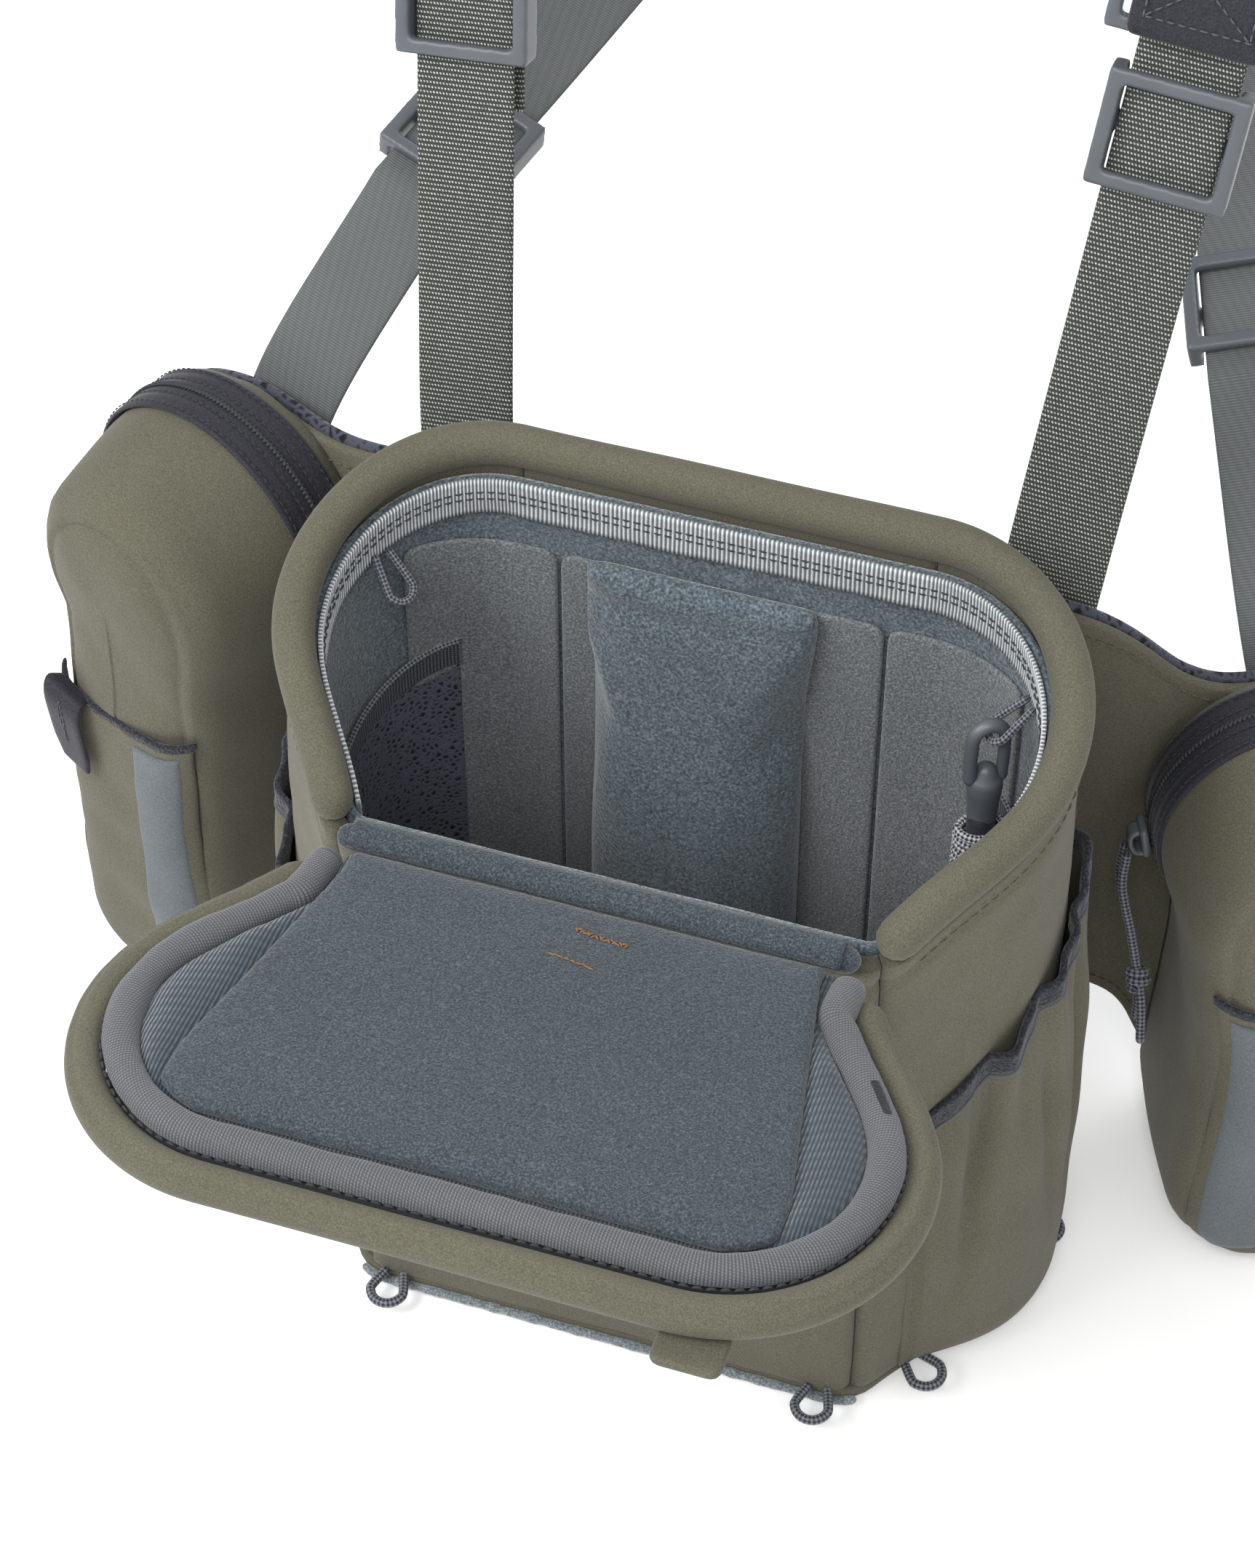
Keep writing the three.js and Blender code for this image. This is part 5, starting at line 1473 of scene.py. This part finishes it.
def arch_band(name, side, sign, y0, y1, low, high, look, seams=()):
    """Cloth that follows the arch between two depths."""
    place = pouch_place(sign)
    arch, (start, end) = ARCH_HEIGHT[side], ZIP_SPAN
    ys = np.linspace(y0, y1, 26)
    edge = np.minimum(np.abs(ys - y0), np.abs(ys - y1))
    dip = sum((groove(ys - at, 0.35, 0.6) for at in seams), 0 * ys)
    upper = high + dip - 0.5 * np.exp(-edge / 0.6)
    outer = np.array([arch_line(arch, r, y, start, end) for r, y in zip(upper, ys)])
    outer[..., 2] += 0.25 * ripple(outer, 19, 80)
    inner = np.array([arch_line(arch, low, y, start, end) for y in ys])
    along = np.linspace(0, math.radians(end - start) * ARCH_RADIUS, outer.shape[1])
    uv = np.stack(np.broadcast_arrays(along[None] * MM, ys[:, None] * MM), axis=-1)
    return slab(
        name, place(outer), place(inner), "pack", look, uv,
        stands_for=["zip_tape_" + side], slot="dark_nylon",
    )


def zip_parts(side, sign):
    """The zip's band, coil and rows of stitches."""
    place = pouch_place(sign)
    arch, middle = ARCH_HEIGHT[side], ZIP_MIDDLE
    arch_band(
        "zip_band_" + side, side, sign, -22, -3, ARCH_RADIUS + 0.25, ARCH_RADIUS + 1.4, dark_nylon,
        seams=(-19.5, -9, -16, -5.5),
    )
    teeth = 4 * int(math.radians(222) * ARCH_RADIUS / 1.25)
    line = arch_line(arch, ARCH_RADIUS + 1.75, middle, *ZIP_SPAN, teeth)
    line[:, 1] += 0.55 * np.sin(np.arange(teeth) * TAU / 4)
    loft(
        "zip_coil_" + side, place(line), ring(8) * 0.5, "pack", board_look, up=(0, 1, 0.01),
        slot="dark_nylon",
    )
    for row, y in enumerate((middle - 3.2, middle + 3.2, -20.4, -4.6)):
        line = arch_line(arch, ARCH_RADIUS + 1.55, y, -20, 200)
        out = place(arch_line(arch, ARCH_RADIUS + 5, y, -20, 200)) - place(line)
        stitches(f"zip_thread_{side}_{row}", place(line), unit(out), "pack", dark_thread, 2.4, 1.8, 0.2)


SLIDER_ANGLE = math.radians(192)


def slider_place(sign, arch):
    """Frame of the slider: x away from the arch's centre, y across the zip, z along it."""
    pouch = pouch_place(sign)
    out = np.array([math.cos(SLIDER_ANGLE), 0, math.sin(SLIDER_ANGLE)])
    along = np.array([-math.sin(SLIDER_ANGLE), 0, math.cos(SLIDER_ANGLE)])
    centre = np.array([ARCH_RADIUS, ZIP_MIDDLE, arch])

    def place(points):
        p = np.asarray(points, float)
        return pouch(centre + p[..., :1] * out + p[..., 1:2] * np.array([0, 1, 0]) + p[..., 2:3] * along)

    return place


def slider(side, sign):
    """The slider's plate, hood and small parts; gives its body and its low radius."""
    place = slider_place(sign, ARCH_HEIGHT[side])
    body = "zip_slider_" + side + "_body"
    low = ARCH_RADIUS + GAP + 1.2 + GAP + 0.4
    plate = rounded([(-4.3, -6), (4.3, -6), (4.3, 1), (2.4, 6), (-2.4, 6), (-4.3, 1)], 2.2, 0.7)

    def flat(points):
        return place(np.column_stack([low + points[:, 2], points[:, 0], points[:, 1]]))

    pillow(
        "slider_plate_" + side, plate, 0.0, 2.2, 0.8, body, moulded, flat, crown=0.3,
        stands_for=["zip_slider_" + side], slot="plastic",
    )
    rises = ((1.6, -4.2), (4.2, -3.4), (4.9, 0), (4.0, 3.2), (1.6, 4.2))
    hood = curve([(low + rise, 0, at) for rise, at in rises], 0.5)
    across = unit(place((0, 1, 0)) - place((0, 0, 0)))
    world = place(hood)
    t = directions(world)
    loft("slider_hood_" + side, world, flat_section(4.8, 1.5, 8), body, moulded,
         basis=(np.broadcast_to(across, world.shape), unit(np.cross(across, t))), slot="plastic")
    return body, low


def zip_pull(side, sign):
    """A doubled cord with a knot and two tails, hanging beside the pouch."""
    arch = ARCH_HEIGHT[side]
    pouch = pouch_place(sign)
    body, low = slider(side, sign)
    reach = low + 4.5 + 1.2 + GAP
    angle = math.radians(197)
    start = np.array(
        [ARCH_RADIUS + reach * math.cos(angle), ZIP_MIDDLE, arch + reach * math.sin(angle)]
    )
    for strand, shift in (("a", -1.7), ("b", 1.7)):
        way = curve(
            [
                start + (-0.6, shift, 0.5),
                start + (-1.5, shift * 1.3 - 3, -8),
                start + (1.0, shift * 1.2 - 9, -20),
                start + (3.2, shift * 0.7 - 15, -32),
                start + (3.8, shift * 1.4 - 18.5, -38),
                start + (3.6, shift * 2.3 - 22, -46),
            ],
            1.0,
        )
        path = pouch(way)
        piece = cord(f"pull_{side}_{strand}", path, 1.25, body,
                     stands_for=["zip_pull_" + side] if strand == "a" else (), slot="cord")
        declare_cord(path)
    knot = start + (3.4, -15.5, -33)
    turns = np.linspace(0, 2.1 * TAU, 60)
    lean = np.array([0.12, -0.5, -0.86])
    side_way, up_way = frames(np.array([knot, knot + lean]))
    coil = np.array([knot + 2.2 * math.cos(q) * side_way[0] + 2.2 * math.sin(q) * up_way[0]
                     + lean * (q / (2.1 * TAU) - 0.5) * 5.2 for q in turns])
    cord("pull_knot_" + side, pouch(coil), 1.25, body, slot="cord")


def front_pocket(side, sign):
    """Stretch pocket on the pouch's front, with a bound mouth that stands a little open."""
    arch = ARCH_HEIGHT[side]
    place = pouch_place(sign)
    outline = tombstone(4.5, arch, 400)
    low_z = outline[:, 1].min()
    right = outline[(outline[:, 0] > ARCH_RADIUS) & (outline[:, 1] < POCKET_TOP + 3)]
    right = right[np.argsort(right[:, 1])]
    rows = np.linspace(0, 1, 54)
    across = np.linspace(-1, 1, 84)
    front, back = [], []
    for share in rows:
        z_line = low_z + 1.2 + (POCKET_TOP - low_z - 1.2) * share
        half = np.interp(z_line, right[:, 1], right[:, 0]) - ARCH_RADIUS
        x = ARCH_RADIUS + across * half
        dip = 2.6 * share**3 * (1 - across**2)
        z = np.full_like(x, z_line) - dip
        bulge = 5.4 * (1 - np.abs(across) ** 5) * math.sin(math.pi * min(1, 0.12 + share * 0.72)) ** 0.5
        y = -56.6 - 1.6 * (1 - np.abs(across) ** 6) - bulge
        place_raw = np.column_stack([x, y, z])
        y = y - 0.7 * ripple(place_raw, 30, 90 + sign) - 0.35 * ripple(place_raw, 12, 93) * share
        front.append(np.column_stack([x, y, z]))
        back.append(np.column_stack([x, y + 1.3, z]))
    front, back = np.array(front), np.array(back)
    piece = slab("front_pocket_" + side, place(front), place(back), "pack", softshell,
                 stands_for=["pouch_pocket_" + side], slot="softshell")
    lip = (front[-1] + back[-1]) / 2
    binding = flat_section(3.4, 1.9, 6)
    outward = place((0, -1, 0)) - place((0, 0, 0))
    basis = (np.broadcast_to((0, 0, 1.0), lip.shape), np.broadcast_to(outward, lip.shape))
    loft("front_binding_" + side, place(lip), binding, "pack", velour, basis=basis, slot="dark_nylon")
    strip = front[2:-2, 4:30] + np.array([0, -0.75, 0])
    strip[..., 1] += 0.6 * (1 - np.sin(np.pi * np.linspace(0, 1, strip.shape[1])) ** 0.3)
    behind = front[2:-2, 4:30] + np.array([0, 0.5, 0])
    slab("stretch_strip_inner_" + side, place(strip), place(behind), "pack", stretch_grey, slot="gasket")
    return piece


def wing(side, sign):
    """The stitched panel behind a side pouch, with its mesh back."""
    arch = ARCH_HEIGHT[side]
    place = pouch_place(sign)
    corners = [
        (-50, 62), (-2, 48), (10, 18), (20, 6), (57, 6), (67, 18), (70, 90), (74, arch - 20),
        (74, arch + 8), (62, arch + 26), (38, arch + 34), (12, arch + 30), (-14, 188), (-50, 202),
    ]
    outline = rounded(corners, 14, 3)

    def stand(points):
        return place(np.column_stack([points[:, 0], 3.3 - points[:, 2], points[:, 1]]))

    def seams(x, y):
        gap = np.stack([x, y], axis=-1)[:, None] - outline[None]
        away = np.linalg.norm(gap, axis=2).min(axis=1)
        return groove(away - 7, 0.7, 0.8) + groove(away - 13, 0.7, 0.8) + groove(away - 20, 0.5, 0.8)

    panel = pillow(
        "wing_panel_" + side, outline, 0.0, 3.0, 1.3, "pack", softshell, stand, relief=seams,
        stands_for=["wing_" + side], slot="softshell",
    )
    centre = outline.mean(axis=0)
    grown = centre + (outline - centre) * 1.012
    mesh_back = pillow("wing_mesh_" + side, grown, -3.4, -0.2, 1.5, "pack", spacer, stand, slot="mesh")
    inner = centre + (outline - centre) * 0.93
    line = np.column_stack([inner[:, 0], np.full(len(inner), 0.1), inner[:, 1]])
    line = np.vstack([line, line[:1]])
    outward = place((0, -1, 0)) - place((0, 0, 0))
    stitches("wing_thread_" + side, place(line), outward, "pack", olive_thread, 3.4, 2.4, 0.25)


for side, sign in SIDES:
    pouch_body(side, sign)
    zip_parts(side, sign)
    zip_pull(side, sign)
    pocket = front_pocket(side, sign)
    wing(side, sign)


def mouth_tab():
    """The dark folded tab on the left pouch's pocket mouth."""
    place = pouch_place(-1)
    path = [(54, -61, 108), (54, -64.6, 109), (53.4, -66.4, 105), (52.4, -66.4, 96), (51, -66, 85)]
    line = place(curve(path, 1.0))
    width = np.interp(np.linspace(0, 1, len(line)), [0, 0.1, 0.8, 1], [12, 14, 13, 10])
    section = np.array([flat_section(w, 1.8, 8) for w in width])
    across = unit(place((1, 0, 0.35)) - place((0, 0, 0)))
    out = unit(np.cross(across, directions(line)))
    basis = (np.broadcast_to(across, line.shape), out)
    loft("mouth_tab", line, section, "pack", dark_nylon, basis=basis, slot="dark_nylon")
    zig = np.array([line[i] + across * (0.8 if i % 2 else -0.8) for i in range(6, len(line) - 8)])
    facing = place((0, -1, 0)) - place((0, 0, 0))
    stitches("mouth_tab_thread", zig + facing * 1.0, facing, "pack", grey_thread, 2.0, 1.6, 0.18)


mouth_tab()

# ------------------------------------------------------------------ harness
STRAP_X, STRAP_Y, STRAP_Z, STRAP_TILT = 73, 68.1, 150, math.radians(5)
STRAP_FOOT, STRAP_RING = 14, 106
FOLD, RETURN, RING_TALL, RING_BAR = 3.7, 52, 18.6, 3.6
LEAN = unit(np.array([3.0, 1.0]))
STRAIGHT = np.array([80.0, 13.0])


def along_strap(distance, back=0.0):
    """A place on the strap's straight run: up the strap and away from the front."""
    return STRAIGHT + LEAN * distance + np.array([-LEAN[1], LEAN[0]]) * back


def half_turn(centre, radius, start, end, count=14):
    a = np.radians(np.linspace(start, end, count))
    return np.stack([centre[0] + radius * np.cos(a), centre[1] + radius * np.sin(a)], axis=1)


def strap_place(sign):
    up = np.array([math.sin(STRAP_TILT), 0, math.cos(STRAP_TILT)])

    def place(points):
        p = np.asarray(points, float)
        at = np.array([STRAP_X, STRAP_Y, STRAP_Z]) + p[..., :1] * up + p[..., 1:2] * np.array([0, 1, 0])
        return flip(at, sign)

    return place


def strap_across(sign):
    return np.array([math.cos(STRAP_TILT) * sign, 0, -math.sin(STRAP_TILT)])


def ribbon(name, world, across, width, thick, look, crown=0.0, **more):
    """Flat webbing along a line, lying across one direction."""
    across = np.broadcast_to(unit(across), world.shape)
    out = unit(np.cross(across, directions(world)))
    section = flat_section(width, thick, 12, crown)
    return loft(name, world, section, "pack", look, basis=(across, out), **more)


def stitched_box(name, at, half, near, far):
    """A box of stitches with a cross in it; at() gives places and outward directions."""
    corners = [(-half, near), (half, near), (half, far), (-half, far)]
    edges = list(zip(corners, corners[1:] + corners[:1]))
    edges += [(corners[0], corners[2]), (corners[1], corners[3])]
    for number, (start, end) in enumerate(edges):
        share = np.linspace(0, 1, 12)[:, None]
        way = np.array(start) + (np.array(end) - np.array(start)) * share
        row, out = at(way)
        stitches(f"{name}_{number}", row, out, "pack", grey_thread, 2.6, 1.9, 0.24)


LEAN_DEGREES = math.degrees(math.atan2(LEAN[1], LEAN[0]))


def front_strap(side, sign):
    """The webbing from wing to ring with its return, and the short loop above the ring."""
    place = strap_place(sign)
    ring_middle = along_strap(STRAP_RING, FOLD)
    lower = curve([(-STRAP_FOOT, 0, 0), (22, 0, 0), (52, 4.5, 0), (*STRAIGHT, 0)], 2.5)[:, :2]
    path = np.vstack([
        lower,
        [along_strap(d) for d in np.linspace(4, STRAP_RING, 30)],
        half_turn(ring_middle, FOLD, LEAN_DEGREES - 90, LEAN_DEGREES + 90)[1:],
        [along_strap(STRAP_RING - d, 2 * FOLD) for d in np.linspace(3, RETURN, 16)],
    ])
    across = strap_across(sign)
    ribbon(
        "webbing_" + side, place(path), across, WEBBING_WIDTH, WEBBING_THICK, webbing,
        stands_for=["front_strap_" + side], slot="webbing",
    )

    upper_bar = along_strap(STRAP_RING + RING_TALL - RING_BAR, FOLD)
    tongue = np.vstack([
        [along_strap(STRAP_RING + RING_TALL + 16, 0.9)],
        half_turn(upper_bar, FOLD, LEAN_DEGREES + 270, LEAN_DEGREES + 90),
        [along_strap(STRAP_RING + RING_TALL + 16, 2 * FOLD - 0.9)],
    ])
    ribbon(
        "ring_loop_" + side, place(resample(tongue, 1.5)), across, WEBBING_WIDTH, WEBBING_THICK, webbing,
        slot="webbing",
    )


def shoulder_pad(side, sign):
    """The padded strap in a level arch from the ring's loop to the top of the yoke."""
    place = strap_place(sign)
    mirror = np.array([sign, 1, 1])
    pad_start = place(along_strap(STRAP_RING + RING_TALL + 8, FOLD)) * mirror
    pad_end = np.array([66, YOKE_Y + YOKE_THICK / 2, YOKE_TOP + GAP])
    level = pad_end - pad_start
    drop = level[2]
    level = level * np.array([1, 1, 0])
    span = np.linalg.norm(level)
    level = level / span
    rises = ((0, 0), (0.1, 18), (0.3, 34), (0.55, 39), (0.8, 31), (0.95, 15), (1, drop + 5))
    arch = curve([(span * share, rise, 0) for share, rise in rises], 2.0)
    world = (pad_start + arch[:, :1] * level + arch[:, 1:2] * np.array([0, 0, 1.0])) * mirror
    sideways = np.broadcast_to(unit(np.cross(level, (0, 0, 1.0))) * mirror, world.shape)
    out = unit(np.cross(sideways, directions(world)))
    out *= np.sign(out[:, 2].mean())
    seam = 1 + 0.03 * ripple(world, 18, 101)[:, None, None]
    section = flat_section(46, 6.2, 20, 0.9)
    channel = 1 - 0.28 * np.exp(-((np.abs(section[:, 0]) - 13) / 1.6) ** 2)
    section = np.column_stack([section[:, 0], section[:, 1] * channel])
    pad = loft(
        "shoulder_padding_" + side, world, section[None] * seam, "pack", spacer,
        basis=(sideways, out), stands_for=["shoulder_pad_" + side], slot="dark_nylon",
    )
    cover = world + out * 3.3
    loft(
        "shoulder_cover_" + side, cover[2:-2], flat_section(41, 1.4, 16, 0.6), "pack", softshell,
        basis=(sideways[2:-2], out[2:-2]), slot="softshell",
    )
    for edge, label in ((-1, "in"), (1, "out")):
        line = world + sideways * edge * 23.2
        loft(
            f"shoulder_binding_{side}_{label}", line, flat_section(7.6, 3.2, 6), "pack", dark_nylon,
            basis=(out, sideways), slot="dark_nylon",
        )
        row = world + out * 5.0 + sideways * edge * 18.5
        stitches(
            f"shoulder_thread_{side}_{label}", row[3:-3], out[3:-3], "pack", olive_thread, 3.2, 2.3, 0.26
        )

    def pad_at(way):
        index = np.clip(way[:, 1].round().astype(int), 0, len(world) - 1)
        return world[index] + out[index] * 5.1 + sideways[index] * way[:, :1], out[index]

    stitched_box("pad_box_" + side, pad_at, 10, 9, 15)


def ring_flap(side, sign):
    """The dark stitched flap in front of the ring."""
    place, across = strap_place(sign), strap_across(sign)
    flap_line = place([along_strap(d, -4.8) for d in np.linspace(108.5, 137, 22)])
    ribbon("ring_flap_" + side, flap_line, across, 32, 3.0, dark_nylon, crown=0.6, slot="dark_nylon")

    def flap_at(way):
        at = np.array([along_strap(d, -7.1) for d in way[:, 1]])
        return place(at) + unit(across) * way[:, :1], np.broadcast_to((0, -1.0, 0.3), (len(way), 3))

    stitched_box("flap_box_" + side, flap_at, 12.5, 112, 132)


def side_strap(side, sign):
    """Webbing in one slanted plane, from the wing to the yoke."""
    mirror = np.array([sign, 1, 1])
    foot, knee = np.array([146, 93.4, 132.0]), np.array([113, 132, 222.0])
    end = np.array([62, YOKE_Y - 5, 264.0])
    along = unit(end - foot)
    slant = unit(np.cross(along, knee - foot))
    rise = np.cross(slant, along)

    def flat(point):
        return np.array([(point - foot) @ along, (point - foot) @ rise, 0])

    first = curve([(0, 0, 0), flat(np.array([136, 94.5, 182])), flat(knee)], 2.0)
    second = curve([flat(knee), flat(np.array([93, 198, 238.0])), flat(end)], 3.0)
    flat_line = np.vstack([first, second[1:]])
    world = foot + flat_line[:, :1] * along + flat_line[:, 1:2] * rise
    ribbon(
        "side_webbing_" + side, world * mirror, slant * mirror, WEBBING_WIDTH, WEBBING_THICK,
        side_webbing, stands_for=["side_strap_" + side], slot="side_webbing",
    )


for side, sign in SIDES:
    front_strap(side, sign)
    shoulder_pad(side, sign)
    ring_flap(side, sign)
    side_strap(side, sign)

for name in ("triglide", "ring", "side_triglide"):
    for side, _ in SIDES:
        node = NODES[f"{name}_{side}"]
        node.data.materials.clear()
        node.data.materials.append(moulded.made)
        remesh = node.modifiers.new("even_mesh", "REMESH")
        remesh.mode = "VOXEL"
        remesh.voxel_size = 0.5 * MM
        remesh.use_smooth_shade = True
        smooth = node.modifiers.new("soft_edges", "SMOOTH")
        smooth.factor = 0.5
        smooth.iterations = 22

yoke_outline = rounded(
    [(-YOKE_LOW_HALF, YOKE_LOW), (YOKE_LOW_HALF, YOKE_LOW), (YOKE_TOP_HALF - 10, YOKE_LOW + 50),
     (YOKE_TOP_HALF, YOKE_TOP), (-YOKE_TOP_HALF, YOKE_TOP), (-YOKE_TOP_HALF + 10, YOKE_LOW + 50)], 12, 4
)


def yoke_place(points):
    return np.column_stack([points[:, 0], YOKE_Y + points[:, 2], points[:, 1]])


yoke = pillow(
    "yoke_pad", yoke_outline, 0.2, YOKE_THICK - 0.6, 3.2, "pack", softshell, yoke_place, crown=0.6,
    relief=lambda x, z: groove(np.abs(x) - 44, 1.6, 2.0) + groove(z - 308, 1.6, 2.0) * (np.abs(x) < 44),
    stands_for=["yoke"], slot="softshell",
)
binding_line = np.vstack([yoke_outline, yoke_outline[:3]])
binding_line = yoke_place(np.column_stack([binding_line, np.full(len(binding_line), 4.0)]))
edgeways = unit(np.cross(directions(binding_line), (0, 1.0, 0)))
loft(
    "yoke_binding", binding_line, flat_section(8.6, 2.4, 6), "pack", dark_nylon,
    basis=(np.broadcast_to((0, 1.0, 0), binding_line.shape), edgeways), slot="dark_nylon",
)
inset = [
    (-YOKE_LOW_HALF + 28, YOKE_LOW + 8), (YOKE_LOW_HALF - 28, YOKE_LOW + 8),
    (YOKE_TOP_HALF - 30, YOKE_LOW + 54), (YOKE_TOP_HALF - 12, YOKE_TOP - 10),
    (-YOKE_TOP_HALF + 12, YOKE_TOP - 10), (-YOKE_TOP_HALF + 30, YOKE_LOW + 54),
]
pillow(
    "yoke_lining", rounded(inset, 10, 4), 0.3, 2.7, 1.2, "pack", spacer,
    lambda p: np.column_stack([p[:, 0], YOKE_Y - p[:, 2], p[:, 1]]), crown=1.0,
    stands_for=["yoke_mesh"], slot="mesh",
)
